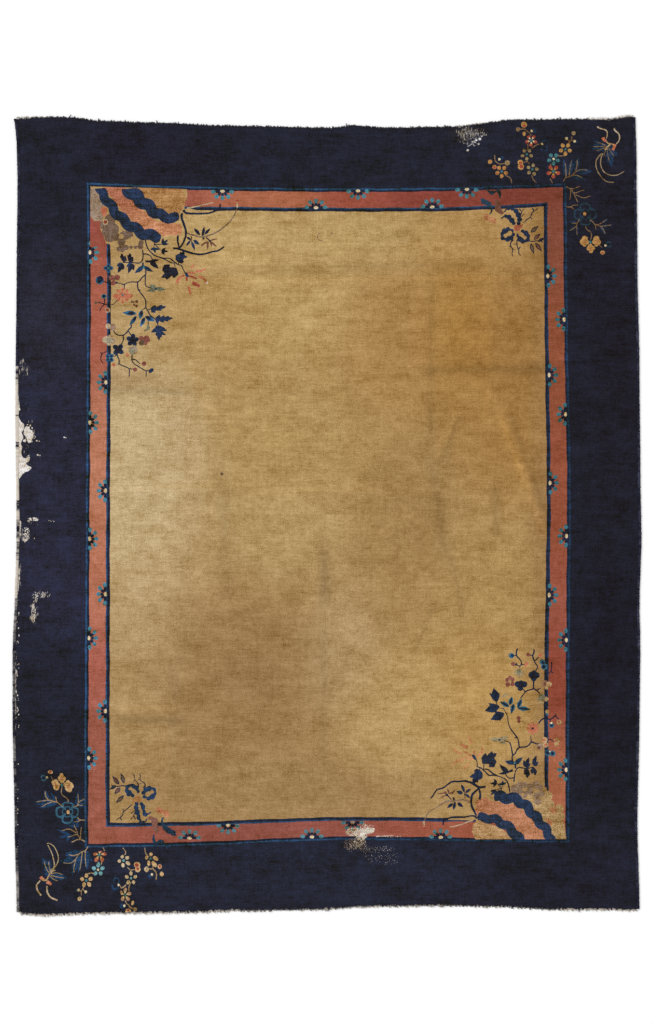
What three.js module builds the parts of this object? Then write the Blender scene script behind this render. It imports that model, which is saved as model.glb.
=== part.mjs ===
// A hand-knotted wool carpet lying on a floor, worn and slightly out of true.
// Millimetres, +Z up, +X to the right and +Y towards the end with the longer loose warps.
import * as THREE from "three";

// Driving sizes of the whole carpet
const HALF_WIDTH = 1375;
const HALF_LENGTH = 1745;
const GAP = 0.3;

// Cloth: a cotton foundation with a cut wool pile
const CLOTH_THICKNESS = 9;
const EDGE_ROUNDING = 2;
const EDGE_ROUNDING_REACH = 14;

// Overcast cords that bind the two long sides
const CORD_WIDTH = 10;
const CORD_HEIGHT = 7.5;
const CORD_SIDES = 8;
const WORN_CORD_HEIGHT = 4;

// Woven end web and what is left of the warp fringe
const WEB_DEPTH = 5;
const WEB_THICKNESS = 2;
const LOCK_COUNT = 120;
const LOCK_LENGTH = 4;
const LOCK_ROOT = 9;
const LOCK_TIP = 3.5;
const LOCK_LEAN = 2;
const SHORTEST_LOCK_SHARE = 0.55;
const NARROWEST_ROOT_SHARE = 0.6;

// Mesh steps across the cloth, and the closest that two grid lines may lie
const GRID_STEP = 95;
const CLOSEST_LINES = 10;

// How far each side strays outwards from a straight line, by the place along that side
const LEFT_SIDE = [
  { along: -1766, out: -5 },
  { along: -1726, out: -5 },
  { along: -1372, out: 4 },
  { along: -886, out: 13 },
  { along: -577, out: 13 },
  { along: -400, out: 4 },
  { along: -91, out: -5 },
  { along: 528, out: 0 },
  { along: 1103, out: -5 },
  { along: 1456, out: -9 },
  { along: 1680, out: -5 },
  { along: 1766, out: 8 },
];
const RIGHT_SIDE = [
  { along: -1706, out: 4 },
  { along: -1372, out: -5 },
  { along: -886, out: 4 },
  { along: -577, out: 8 },
  { along: -400, out: 4 },
  { along: -91, out: 13 },
  { along: 175, out: 8 },
  { along: 661, out: 4 },
  { along: 1103, out: -5 },
  { along: 1588, out: -9 },
  { along: 1766, out: -14 },
];
const TOP_END = [
  { along: -1366, out: 18 },
  { along: -1145, out: 21 },
  { along: -1012, out: 3 },
  { along: -747, out: -6 },
  { along: -438, out: -19 },
  { along: 49, out: -28 },
  { along: 110, out: -16 },
  { along: 270, out: -28 },
  { along: 535, out: -23 },
  { along: 712, out: -6 },
  { along: 800, out: 8 },
  { along: 1286, out: 12 },
  { along: 1360, out: 25 },
];
const BOTTOM_END = [
  { along: -1366, out: 16 },
  { along: -1277, out: 25 },
  { along: -1012, out: 16 },
  { along: -570, out: 12 },
  { along: -438, out: 3 },
  { along: -40, out: -1 },
  { along: 181, out: -15 },
  { along: 535, out: -19 },
  { along: 756, out: -15 },
  { along: 1021, out: -1 },
  { along: 1286, out: -1 },
  { along: 1348, out: 3 },
];

// Old folds and waves that still lift the cloth, each a low ridge between two points
const RIDGES = [
  { x1: -520, y1: 1107, x2: 10, y2: 1107, reach: 60, rise: 3 },
  { x1: 10, y1: 1054, x2: 960, y2: 1054, reach: 60, rise: 3 },
  { x1: -1340, y1: 113, x2: -60, y2: 113, reach: 60, rise: 4 },
  { x1: -672, y1: -1500, x2: -672, y2: 900, reach: 70, rise: 2.5 },
  { x1: 13, y1: -1300, x2: 13, y2: -550, reach: 70, rise: 3 },
  { x1: 498, y1: -1300, x2: 498, y2: 1000, reach: 80, rise: 2.5 },
  { x1: 780, y1: 420, x2: 970, y2: -10, reach: 110, rise: 5 },
  { x1: 790, y1: -1600, x2: 1210, y2: -1725, reach: 95, rise: 6 },
  { x1: 300, y1: -1620, x2: 430, y2: -1725, reach: 90, rise: 4 },
];
const RIDGE_RUN_OUT = 160;
const RIM_REST_REACH = 80;

// Places where the pile is worn down to the foundation
const WORN_PLACES = [
  { x: 637, y: 1668, halfX: 75, halfY: 66, sink: 4 },
  { x: 152, y: -1423, halfX: 78, halfY: 80, sink: 4 },
  { x: -1335, y: 345, halfX: 45, halfY: 195, sink: 5 },
  { x: -1340, y: -42, halfX: 30, halfY: 95, sink: 4 },
];
const WORN_SLOPE = 0.45;
const DEEPEST_WEAR = Math.max(...WORN_PLACES.map((place) => place.sink));

// Stretches of an end where the loose warps are left longer
const LONG_LOCKS_TOP = [
  { from: -1390, to: -1280, length: 10 },
  { from: 1150, to: 1390, length: 13 },
];
const LONG_LOCKS_BOTTOM = [
  { from: -1390, to: -1300, length: 8 },
  { from: 1190, to: 1390, length: 7 },
];

const clothMaterial = new THREE.MeshStandardMaterial({ color: 0x6b5647, roughness: 0.95, metalness: 0 });
const cordMaterial = new THREE.MeshStandardMaterial({ color: 0x262838, roughness: 0.9, metalness: 0 });
const warpMaterial = new THREE.MeshStandardMaterial({ color: 0xb9ab97, roughness: 0.95, metalness: 0 });

const smooth = (t) => t * t * (3 - 2 * t);
const limit = (value, low, high) => Math.min(high, Math.max(low, value));

// The outward stray at a place along a side, eased from one row to the next
function strayAt(rows, along) {
  if (along <= rows[0].along) {
    return rows[0].out;
  }
  for (let index = 1; index < rows.length; index += 1) {
    const before = rows[index - 1];
    const after = rows[index];
    if (along <= after.along) {
      const t = smooth((along - before.along) / (after.along - before.along));
      return before.out + t * (after.out - before.out);
    }
  }
  return rows[rows.length - 1].out;
}

// Height that one ridge lifts the cloth at a point: a cosine hump that runs out at its ends
function ridgeLift(ridge, x, y) {
  const alongX = ridge.x2 - ridge.x1;
  const alongY = ridge.y2 - ridge.y1;
  const length = Math.hypot(alongX, alongY);
  const run = ((x - ridge.x1) * alongX + (y - ridge.y1) * alongY) / length;
  const aside = Math.abs((x - ridge.x1) * alongY - (y - ridge.y1) * alongX) / length;
  const beyond = Math.max(0, -run, run - length);
  if (aside >= ridge.reach || beyond >= RIDGE_RUN_OUT) {
    return 0;
  }
  const hump = 0.5 + 0.5 * Math.cos((Math.PI * aside) / ridge.reach);
  const fade = 0.5 + 0.5 * Math.cos((Math.PI * beyond) / RIDGE_RUN_OUT);
  return ridge.rise * hump * fade;
}

const liftAt = (x, y) => RIDGES.reduce((highest, ridge) => Math.max(highest, ridgeLift(ridge, x, y)), 0);

// Depth by which wear has lowered the pile at a point
function wearAt(x, y) {
  let deepest = 0;
  for (const place of WORN_PLACES) {
    const inside = 1 - Math.max(Math.abs(x - place.x) / place.halfX, Math.abs(y - place.y) / place.halfY);
    deepest = Math.max(deepest, place.sink * smooth(limit(inside / WORN_SLOPE, 0, 1)));
  }
  return deepest;
}

// Grid lines from one edge to the other: the wanted places, then even steps between them
function gridLines(half, wanted) {
  const lines = [-half, -half + EDGE_ROUNDING_REACH, half - EDGE_ROUNDING_REACH, half];
  for (const place of wanted) {
    if (Math.abs(place) < half && lines.every((line) => Math.abs(line - place) >= CLOSEST_LINES)) {
      lines.push(place);
    }
  }
  lines.sort((a, b) => a - b);
  const full = [lines[0]];
  for (let index = 1; index < lines.length; index += 1) {
    const span = lines[index] - lines[index - 1];
    const steps = Math.max(1, Math.round(span / GRID_STEP));
    for (let step = 1; step <= steps; step += 1) {
      full.push(lines[index - 1] + (span * step) / steps);
    }
  }
  return full;
}

// Places that the grid has to meet so that folds and worn places keep their shape
function wantedPlaces(axis) {
  const places = [];
  for (const ridge of RIDGES) {
    const start = ridge[`${axis}1`];
    if (start === ridge[`${axis}2`]) {
      places.push(start, start - ridge.reach, start + ridge.reach);
    }
  }
  for (const worn of WORN_PLACES) {
    const half = axis === "x" ? worn.halfX : worn.halfY;
    const flat = half * (1 - WORN_SLOPE);
    places.push(worn[axis] - half, worn[axis] - flat, worn[axis] + flat, worn[axis] + half);
  }
  return places;
}

// A closed mesh from points and triangles that face outwards
function closedMesh(name, points, triangles, material) {
  const geometry = new THREE.BufferGeometry();
  geometry.setAttribute("position", new THREE.Float32BufferAttribute(points.flat(), 3));
  geometry.setIndex(triangles.flat());
  geometry.computeVertexNormals();
  const mesh = new THREE.Mesh(geometry, material);
  mesh.name = name;
  return mesh;
}

// The cloth's plan: every grid crossing, moved to follow the four uneven sides
const sideInset = CORD_WIDTH + GAP;
const endInset = LOCK_LENGTH + WEB_DEPTH + GAP;
const clothHalfWidth = HALF_WIDTH - sideInset;
const clothHalfLength = HALF_LENGTH - endInset;
const columns = gridLines(clothHalfWidth, wantedPlaces("x"));
const rows = gridLines(clothHalfLength, wantedPlaces("y"));

function placeOnPlan(column, row) {
  const endRows = row > 0 ? TOP_END : BOTTOM_END;
  const endPull = Math.abs(row / clothHalfLength) ** 3 * Math.sign(row);
  const y = row + endPull * strayAt(endRows, column);
  const sideRows = column > 0 ? RIGHT_SIDE : LEFT_SIDE;
  const sidePull = Math.abs(column / clothHalfWidth) ** 3 * Math.sign(column);
  const x = column + sidePull * strayAt(sideRows, y);
  return { x, y };
}

const plan = columns.map((column) => rows.map((row) => placeOnPlan(column, row)));

// Distance of a grid crossing from the cloth's nearest edge
function edgeDistance(column, row) {
  return Math.min(clothHalfWidth - Math.abs(column), clothHalfLength - Math.abs(row));
}

// How much the pile's rounded edge lowers the top at a grid crossing
const roundingAt = (distance) => EDGE_ROUNDING * (1 - limit(distance / EDGE_ROUNDING_REACH, 0, 1));

// Share of a fold's lift that is left at a grid crossing, since the rim rests on the floor
const liftShare = (distance) => smooth(limit(distance / RIM_REST_REACH, 0, 1));

// Cloth with its underside on the floor, lifted only along the folds
function makeCloth() {
  const points = [];
  const triangles = [];
  const rowCount = rows.length;
  const layer = columns.length * rowCount;
  for (const surface of ["under", "top"]) {
    columns.forEach((column, i) => {
      rows.forEach((row, j) => {
        const { x, y } = plan[i][j];
        const distance = edgeDistance(column, row);
        const under = liftAt(x, y) * liftShare(distance);
        const top = under + CLOTH_THICKNESS - wearAt(x, y) - roundingAt(distance);
        points.push([x, y, surface === "top" ? top : under]);
      });
    });
  }
  for (let i = 0; i + 1 < columns.length; i += 1) {
    for (let j = 0; j + 1 < rowCount; j += 1) {
      const a = i * rowCount + j;
      const b = a + rowCount;
      triangles.push([a, a + 1, b + 1], [a, b + 1, b]);
      triangles.push([layer + a, layer + b + 1, layer + a + 1], [layer + a, layer + b, layer + b + 1]);
    }
  }
  const rim = [];
  for (let i = 0; i + 1 < columns.length; i += 1) {
    rim.push(i * rowCount);
  }
  for (let j = 0; j + 1 < rowCount; j += 1) {
    rim.push((columns.length - 1) * rowCount + j);
  }
  for (let i = columns.length - 1; i > 0; i -= 1) {
    rim.push(i * rowCount + rowCount - 1);
  }
  for (let j = rowCount - 1; j > 0; j -= 1) {
    rim.push(j);
  }
  rim.forEach((from, index) => {
    const to = rim[(index + 1) % rim.length];
    triangles.push([from, to, layer + to], [from, layer + to, layer + from]);
  });
  return closedMesh("carpet_cloth", points, triangles, clothMaterial);
}

// Overcast cord beside one long side: flattened sections that share the cloth's own stations
function makeCord(name, side) {
  const column = side > 0 ? plan[plan.length - 1] : plan[0];
  const corner = Math.PI / CORD_SIDES;
  const points = [];
  const triangles = [];
  column.forEach(({ x, y }) => {
    const wear = wearAt(x, y) / DEEPEST_WEAR;
    const height = CORD_HEIGHT - wear * (CORD_HEIGHT - WORN_CORD_HEIGHT);
    const middle = x + side * (GAP + CORD_WIDTH / 2);
    for (let k = 0; k < CORD_SIDES; k += 1) {
      const angle = (2 * k + 1) * corner;
      const across = (Math.cos(angle) / Math.cos(corner)) * (CORD_WIDTH / 2);
      const up = (1 + Math.sin(angle) / Math.cos(corner)) * (height / 2);
      points.push([middle + across, y, up]);
    }
  });
  for (let station = 0; station + 1 < column.length; station += 1) {
    for (let k = 0; k < CORD_SIDES; k += 1) {
      const a = station * CORD_SIDES + k;
      const b = station * CORD_SIDES + ((k + 1) % CORD_SIDES);
      triangles.push([a, a + CORD_SIDES, b + CORD_SIDES], [a, b + CORD_SIDES, b]);
    }
  }
  const last = (column.length - 1) * CORD_SIDES;
  for (let k = 1; k + 1 < CORD_SIDES; k += 1) {
    triangles.push([0, k, k + 1], [last, last + k + 1, last + k]);
  }
  return closedMesh(name, points, triangles, cordMaterial);
}

// A repeatable uneven number from 0 to 1 for a lock, one series for each use
function uneven(index, series) {
  const wave = Math.sin(index * 12.9898 + series * 78.233) * 43758.5453;
  return wave - Math.floor(wave);
}

// A repeatable uneven number from the given share up to 1
const unevenShare = (least, index, series) => least + (1 - least) * uneven(index, series);

const longLockAt = (stretches, x) => stretches.find((row) => x >= row.from && x <= row.to)?.length;

// End web parted from the cloth, with its short loose warps fused to it, all level on the floor
function makeFringe(name, end, stretches) {
  const inner = plan.map((column) => (end > 0 ? column[column.length - 1] : column[0]));
  const first = inner[0];
  const last = inner[inner.length - 1];
  const left = { x: first.x - GAP - CORD_WIDTH, y: first.y };
  const right = { x: last.x + GAP + CORD_WIDTH, y: last.y };
  const line = [left, ...inner, right];
  const heightAt = (x) => {
    const after = line.find((point) => point.x > x) ?? right;
    const before = line[line.indexOf(after) - 1];
    return before.y + ((x - before.x) / (after.x - before.x)) * (after.y - before.y);
  };
  const outerY = (x) => heightAt(x) + end * (GAP + WEB_DEPTH);
  const shape = new THREE.Shape();
  shape.moveTo(left.x, left.y + end * GAP);
  for (const point of line.slice(1)) {
    shape.lineTo(point.x, point.y + end * GAP);
  }
  shape.lineTo(right.x, outerY(right.x));
  const pitch = (right.x - left.x) / LOCK_COUNT;
  for (let lock = LOCK_COUNT - 1; lock >= 0; lock -= 1) {
    const centre = left.x + (lock + 0.5) * pitch;
    const wanted = longLockAt(stretches, centre) ?? LOCK_LENGTH;
    const length = wanted * unevenShare(SHORTEST_LOCK_SHARE, lock, end);
    const rootHalf = (LOCK_ROOT * unevenShare(NARROWEST_ROOT_SHARE, lock, 3 * end)) / 2;
    const lean = LOCK_LEAN * (2 * uneven(lock, 5 * end) - 1);
    const tipY = outerY(centre) + end * length;
    shape.lineTo(centre + rootHalf, outerY(centre + rootHalf));
    shape.lineTo(centre + lean + LOCK_TIP / 2, tipY);
    shape.lineTo(centre + lean - LOCK_TIP / 2, tipY);
    shape.lineTo(centre - rootHalf, outerY(centre - rootHalf));
  }
  shape.lineTo(left.x, outerY(left.x));
  shape.closePath();
  const geometry = new THREE.ExtrudeGeometry(shape, { depth: WEB_THICKNESS, bevelEnabled: false });
  const mesh = new THREE.Mesh(geometry, warpMaterial);
  mesh.name = name;
  return mesh;
}

const carpet = new THREE.Group();
carpet.add(makeCloth());
carpet.add(makeCord("side_cord_left", -1));
carpet.add(makeCord("side_cord_right", 1));
carpet.add(makeFringe("end_fringe_top", 1, LONG_LOCKS_TOP));
carpet.add(makeFringe("end_fringe_bottom", -1, LONG_LOCKS_BOTTOM));

// The origin lies under the middle of the whole carpet
const box = new THREE.Box3().setFromObject(carpet);
const middle = box.getCenter(new THREE.Vector3());
carpet.position.set(-middle.x, -middle.y, 0);

export default carpet;
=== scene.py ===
"""A worn, hand-knotted wool carpet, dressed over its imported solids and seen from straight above.

Places on the carpet are given on its chart, whose squares are the pixels of the photograph's
652 by 1024 frame: x runs to the right and y runs down. One square is SQUARE metres wide.
Everything else is in metres.
"""

import logging
import math
import random
from dataclasses import dataclass, field
from enum import Enum
from typing import Callable, Iterable, Iterator, Sequence

import bpy
import numpy as np
from bpy.types import Material, Mesh, Node, NodeSocket, Object
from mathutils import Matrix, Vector
from mathutils.bvhtree import BVHTree
from mathutils.geometry import delaunay_2d_cdt


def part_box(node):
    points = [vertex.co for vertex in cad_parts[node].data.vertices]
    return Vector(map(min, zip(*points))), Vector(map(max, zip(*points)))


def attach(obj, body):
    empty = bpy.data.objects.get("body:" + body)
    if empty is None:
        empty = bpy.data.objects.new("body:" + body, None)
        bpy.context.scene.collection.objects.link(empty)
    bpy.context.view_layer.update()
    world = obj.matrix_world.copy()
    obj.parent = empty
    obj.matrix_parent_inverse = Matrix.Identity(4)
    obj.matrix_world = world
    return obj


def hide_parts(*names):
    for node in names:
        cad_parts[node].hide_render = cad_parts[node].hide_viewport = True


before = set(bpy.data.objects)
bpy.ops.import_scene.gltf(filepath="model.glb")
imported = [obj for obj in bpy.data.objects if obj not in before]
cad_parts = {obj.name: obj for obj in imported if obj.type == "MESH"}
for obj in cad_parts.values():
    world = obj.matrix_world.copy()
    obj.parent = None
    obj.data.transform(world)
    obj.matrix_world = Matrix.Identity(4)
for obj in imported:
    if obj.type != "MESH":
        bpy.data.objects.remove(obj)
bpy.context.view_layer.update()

SQUARE = 0.00442
CHART_MIDDLE = (327.0, 514.4)
IMAGE_SIZE = (652, 1024)
LIGHT_LEVEL = 1.12
FLOOR_GAP = 0.0002
LOG = logging.getLogger("carpet")

Point = tuple[float, float]
Section = tuple[float, float, float]


def metres(x: float, y: float) -> Point:
    """Turn a place on the chart into metres on the carpet's plan."""
    return (x - CHART_MIDDLE[0]) * SQUARE, (CHART_MIDDLE[1] - y) * SQUARE


def linear(code: str) -> np.ndarray:
    """Turn a colour as it shows under the studio light into linear red, green and blue.

    Args:
        code: The colour, such as "#a0b0c0".

    Returns:
        Three linear values from 0 to 1.
    """
    screen = np.array([int(code[i:i + 2], 16) for i in (1, 3, 5)]) / 255
    return np.where(screen <= 0.04045, screen / 12.92, ((screen + 0.055) / 1.055) ** 2.4) / LIGHT_LEVEL


def eased(value: float | np.ndarray) -> float | np.ndarray:
    """Ease a share from 0 to 1, flat at both ends."""
    value = np.clip(value, 0, 1)
    return value * value * (3 - 2 * value)


@dataclass(frozen=True)
class Tint:
    """A stretch of the carpet where a yarn has its own shade, from its dye lot, light or dirt; one field
    tint is a painted shadow beside a crease.
    """

    x: float
    y: float
    reach_x: float
    reach_y: float
    shade: str


@dataclass(frozen=True)
class Dye:
    """A yarn's colour, with the stretches where it strays from that colour."""

    shade: str
    tints: tuple[Tint, ...] = ()
    hold: float = 0.22

    def colours(self, places: np.ndarray) -> np.ndarray:
        """Mix the yarn's colour at some places.

        Args:
            places: Places on the chart, one row each.

        Returns:
            Linear colours, one row each.
        """
        weights = np.full(len(places), self.hold)
        total = np.outer(weights, linear(self.shade))
        for tint in self.tints:
            across = (places[:, 0] - tint.x) / tint.reach_x
            along = (places[:, 1] - tint.y) / tint.reach_y
            weight = np.exp(-across ** 2 - along ** 2)
            total += np.outer(weight, linear(tint.shade))
            weights = weights + weight
        return total / weights[:, None]


def records(kind: type, *table: Sequence) -> tuple:
    """Make one record of a kind from each row of a table, whose columns are the kind's fields."""
    return tuple(kind(*row) for row in table)


FIELD_TINTS = records(
    Tint,
    (130, 455, 55, 110, "#c6ae83"), (122, 610, 40, 50, "#bb9f73"), (130, 705, 35, 40, "#a98a5c"),
    (215, 232, 60, 22, "#bd9f6a"), (355, 238, 60, 25, "#ba9c66"), (470, 235, 50, 22, "#ad8853"),
    (185, 320, 60, 45, "#af8d57"), (290, 310, 60, 40, "#bb9b64"), (400, 340, 50, 60, "#a9814c"),
    (455, 330, 30, 60, "#a47736"), (510, 350, 45, 60, "#986d37"), (510, 440, 40, 45, "#a07741"),
    (290, 440, 60, 60, "#b1915b"), (285, 525, 50, 40, "#b69866"), (400, 520, 40, 55, "#9e7c4c"),
    (250, 680, 85, 65, "#96744c"), (270, 790, 110, 30, "#9a7a50"), (390, 715, 48, 45, "#bb9b65"),
    (510, 590, 45, 50, "#ac8954"), (480, 700, 45, 50, "#b69055"), (545, 560, 12, 260, "#947046"),
    (545, 240, 14, 40, "#8a6432"), (340, 650, 26, 50, "#b6986c"), (235, 262, 26, 12, "#caa971"),
    # Painted shadow: this narrow darker tint is the shade beside the crease at the left of the field.
    (128, 381, 26, 9, "#977447"),
)
BORDER_TINTS = records(
    Tint,
    (60, 460, 35, 120, "#2a2a3b"), (60, 580, 30, 40, "#2d2d41"), (52, 320, 26, 50, "#2c2a35"),
    (310, 870, 150, 28, "#252735"), (610, 330, 35, 200, "#1e1c25"), (605, 680, 35, 100, "#1b1922"),
    (560, 880, 60, 30, "#1f1e29"), (150, 155, 50, 25, "#211f2b"), (466, 133, 11, 5, "#302e36"),
)
BAND_TINTS = records(
    Tint,
    (97, 230, 20, 25, "#8e483b"), (97, 310, 20, 50, "#ab614c"), (97, 465, 20, 60, "#c08062"),
    (97, 575, 20, 50, "#b9765b"), (97, 665, 20, 30, "#ad6353"), (97, 790, 20, 70, "#9a5b49"),
    (275, 198, 45, 15, "#ac6949"), (350, 198, 30, 15, "#984c3b"), (440, 198, 45, 15, "#803a30"),
    (530, 198, 50, 15, "#75382c"), (556, 240, 20, 45, "#7a4633"), (556, 350, 20, 70, "#884c2f"),
    (557, 480, 20, 80, "#904d34"), (558, 680, 20, 40, "#87402d"), (558, 780, 20, 40, "#a56444"),
    (260, 832, 80, 15, "#8c5044"), (455, 830, 35, 15, "#9b563f"),
)
BLUE_TINTS = records(
    Tint,
    (88, 480, 40, 260, "#2b4a6c"), (330, 190, 200, 40, "#27455c"), (568, 480, 40, 300, "#1d2d3e"),
    (200, 842, 120, 30, "#29435c"), (530, 187, 60, 14, "#1c2c3a"), (546, 235, 10, 60, "#1d2b3e"),
    (480, 842, 120, 30, "#20364c"),
)
PALE_CORNER = (80, 850, 95, 75)
DIM_CORNER = (555, 175, 70, 50)


class Yarn(Enum):
    """The dyed wools of the pile, each with its dye, and the bare cotton."""

    BORDER = Dye("#21222d", BORDER_TINTS)
    BAND = Dye("#9b5646", BAND_TINTS)
    FIELD = Dye("#ab8957", FIELD_TINTS)
    BLUE = Dye("#284560", BLUE_TINTS)
    NAVY = Dye("#1f2434")
    NIGHT = Dye("#222129", records(Tint, (510, 770, 60, 40, "#242936"), (125, 790, 30, 30, "#2b3440")))
    INDIGO = Dye("#27334a", records(Tint, (165, 218, 20, 10, "#262e40"), (512, 830, 24, 12, "#2c384e"),
        (532, 812, 16, 16, "#222b3a")))
    INK_BLUE = Dye("#26324a", records(Tint, (515, 225, 30, 30, "#212836"), (140, 800, 30, 30, "#243850"),
        (508, 698, 30, 30, "#1f2838")))
    STEEL = Dye("#2f5a78", (Tint(530, 710, 50, 60, "#39646f"),))
    TEAL = Dye("#46777f", records(Tint, (560, 400, 60, 300, "#35626a"), (330, 830, 260, 30, "#527478"),
        (352, 827, 14, 9, "#344c4c")))
    SKY = Dye("#487b8b", records(Tint, (90, 252, 20, 40, "#4a8088"), (98, 282, 6, 6, "#4a7f9c")))
    DEEP_TEAL = Dye("#24353f", records(Tint, (162, 834, 16, 18, "#263d55"), (65, 800, 45, 40, "#3a6478")))
    DIM_TEAL = Dye("#3d6666", (Tint(*PALE_CORNER, "#6f9a98"),))
    DEEP_BLUE = Dye("#22354c", records(Tint, (590, 190, 40, 60, "#203041"), (*PALE_CORNER, "#223d5a")))
    CREAM = Dye("#cdbb94", records(Tint, (*DIM_CORNER, "#b8a880"), (352, 822, 5, 5, "#6f5a44")))
    GOLD = Dye("#a87f4a", records(Tint, (502, 172, 14, 12, "#a86c3a"), (*DIM_CORNER, "#a67c45"),
        (*PALE_CORNER, "#c4a376")))
    STEM_GOLD = Dye("#7a5f40", (Tint(*PALE_CORNER, "#a08763"),))
    STEM_CREAM = Dye("#8f7a5a", (Tint(*PALE_CORNER, "#b09d7c"),))
    OLIVE = Dye("#86714e", (Tint(*PALE_CORNER, "#c0a880"),))
    OCHRE = Dye("#a06c42", records(Tint, (160, 202, 30, 14, "#a67b4a"), (490, 830, 40, 20, "#b79367")))
    SALMON = Dye("#b57b57", records(Tint, (118, 195, 18, 16, "#aa6852"), (165, 228, 25, 14, "#c0835e"),
        (510, 815, 40, 25, "#ac7352")))
    CORAL = Dye("#b56a4e", records(Tint, (464, 753, 26, 20, "#b98455"), (48, 880, 14, 14, "#b47455")))
    RUST = Dye("#954434", records(Tint, (464, 753, 26, 20, "#a97247"), (124, 893, 10, 9, "#a88e6e"),
        (98, 857, 9, 9, "#a4603f"), (137, 799, 10, 8, "#a27846"), (518, 228, 9, 8, "#92543a")))
    FADED_RUST = Dye("#a9724c", (Tint(163, 811, 16, 10, "#b07050"),))
    WINE = Dye("#824c42")
    BROWN = Dye("#6a4535", (Tint(153, 820, 12, 12, "#7f5648"),))
    UMBER = Dye("#65503c")
    CLOUD = Dye("#755f50", (Tint(525, 790, 50, 40, "#8a7058"),))
    ASH = Dye("#8f7862")
    MAUVE = Dye("#977a66", (Tint(543, 690, 16, 16, "#94694e"),))
    SAGE = Dye("#8a8570", (Tint(535, 690, 30, 40, "#6f6a50"),))
    DUN = Dye("#94836a", (Tint(530, 690, 40, 40, "#9c8156"),))
    MOSS = Dye("#6a6a55", (Tint(500, 739, 25, 20, "#938260"),))
    STONE = Dye("#ac9778", (Tint(546, 715, 18, 50, "#b08a5f"),))
    KHAKI = Dye("#a58659")
    COTTON = Dye("#d2c8bc", records(Tint, (360, 838, 40, 20, "#c4b6a0"), (465, 136, 22, 12, "#8d867e"),
        (478.6, 139.8, 3.2, 2.6, "#e6e0da")))


@dataclass
class Shape:
    """An area of one yarn on the plan, worked over what was drawn before it."""

    outline: list[Point]
    yarn: Yarn


Areas = Iterator[tuple[list[Point], Yarn]]


def smooth_route(points: Sequence[Point], step: float = 1.2, closed: bool = False) -> list[Point]:
    """Run a smooth curve through some places.

    Args:
        points: The places that the curve passes.
        step: The rough distance between the curve's own points.
        closed: Whether the curve returns to its start.

    Returns:
        The curve's points, with both ends kept on an open curve.
    """
    ends = [points[-1], *points, points[0], points[1]] if closed else [points[0], *points, points[-1]]
    route: list[Point] = []
    for a, b, c, d in zip(ends, ends[1:], ends[2:], ends[3:]):
        count = max(1, round(math.dist(b, c) / step))
        for k in range(count):
            t = k / count
            route.append(tuple(
                0.5 * (2 * b[i] + (c[i] - a[i]) * t + (2 * a[i] - 5 * b[i] + 4 * c[i] - d[i]) * t ** 2
                       + (3 * b[i] - a[i] - 3 * c[i] + d[i]) * t ** 3)
                for i in (0, 1)
            ))
    if not closed:
        route.append(tuple(points[-1]))
    return route


def ribbon_outline(route: Sequence[Point], half: Callable[[float, int], float]) -> list[Point]:
    """Give a route its width.

    Args:
        route: The middle line.
        half: Gives half the width from the share of the way along and the side, -1 or 1.

    Returns:
        The closed outline.
    """
    sides: dict[int, list[Point]] = {-1: [], 1: []}
    last = len(route) - 1
    for index, (x, y) in enumerate(route):
        before = route[max(0, index - 1)]
        after = route[min(last, index + 1)]
        length = math.dist(before, after) or 1.0
        across = ((before[1] - after[1]) / length, (after[0] - before[0]) / length)
        for side in sides:
            reach = side * half(index / last, side)
            sides[side].append((x + across[0] * reach, y + across[1] * reach))
    return sides[-1] + sides[1][::-1]


def around(x: float, y: float, reach: float, angle: float) -> Point:
    """Find the place at a reach and an angle, in radians, from another place."""
    return x + reach * math.cos(angle), y + reach * math.sin(angle)


@dataclass(frozen=True)
class Dot:
    """A round or oval spot of one yarn."""

    x: float
    y: float
    reach: float
    yarn: Yarn
    narrow: float = 1.0
    turn: float = 0.0

    def areas(self) -> Areas:
        """Give the spot's one area.

        Yields:
            The spot's outline and yarn.
        """
        count = max(8, round(self.reach * 5))
        cos, sin = math.cos(math.radians(self.turn)), math.sin(math.radians(self.turn))
        outline = []
        for k in range(count):
            angle = math.tau * k / count
            along, aside = self.reach * math.cos(angle), self.reach * self.narrow * math.sin(angle)
            outline.append((self.x + along * cos - aside * sin, self.y + along * sin + aside * cos))
        yield outline, self.yarn


@dataclass(frozen=True)
class Patch:
    """An area inside a given outline, rounded or with plain corners."""

    yarn: Yarn
    outline: tuple[Point, ...]
    rounded: bool = True

    def areas(self) -> Areas:
        """Give the patch's one area."""
        outline = smooth_route(self.outline, 1.6, closed=True) if self.rounded else list(self.outline)
        yield outline, self.yarn


@dataclass(frozen=True)
class Stem:
    """A line of knots that narrows towards its end."""

    width: float
    route: tuple[Point, ...]
    yarn: Yarn
    end: float = 0.7

    def areas(self) -> Areas:
        """Give the stem's one area."""
        yield ribbon_outline(smooth_route(self.route), self.half), self.yarn

    def half(self, share: float, side: int) -> float:
        """Give half the stem's width."""
        return self.width / 2 * (1 - (1 - self.end) * share)


@dataclass(frozen=True)
class Curl:
    """A ring or an open curl."""

    x: float
    y: float
    reach: float
    width: float
    yarn: Yarn
    start: float = 0.0
    sweep: float = 330.0

    def areas(self) -> Areas:
        """Give the curl's one area.

        Yields:
            The curl's outline and yarn.
        """
        steps = max(6, round(abs(self.sweep) / 40))
        angles = [math.radians(self.start + self.sweep * k / steps) for k in range(steps + 1)]
        route = tuple(around(self.x, self.y, self.reach, angle) for angle in angles)
        yield from Stem(self.width, route, self.yarn, 0.9).areas()


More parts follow.
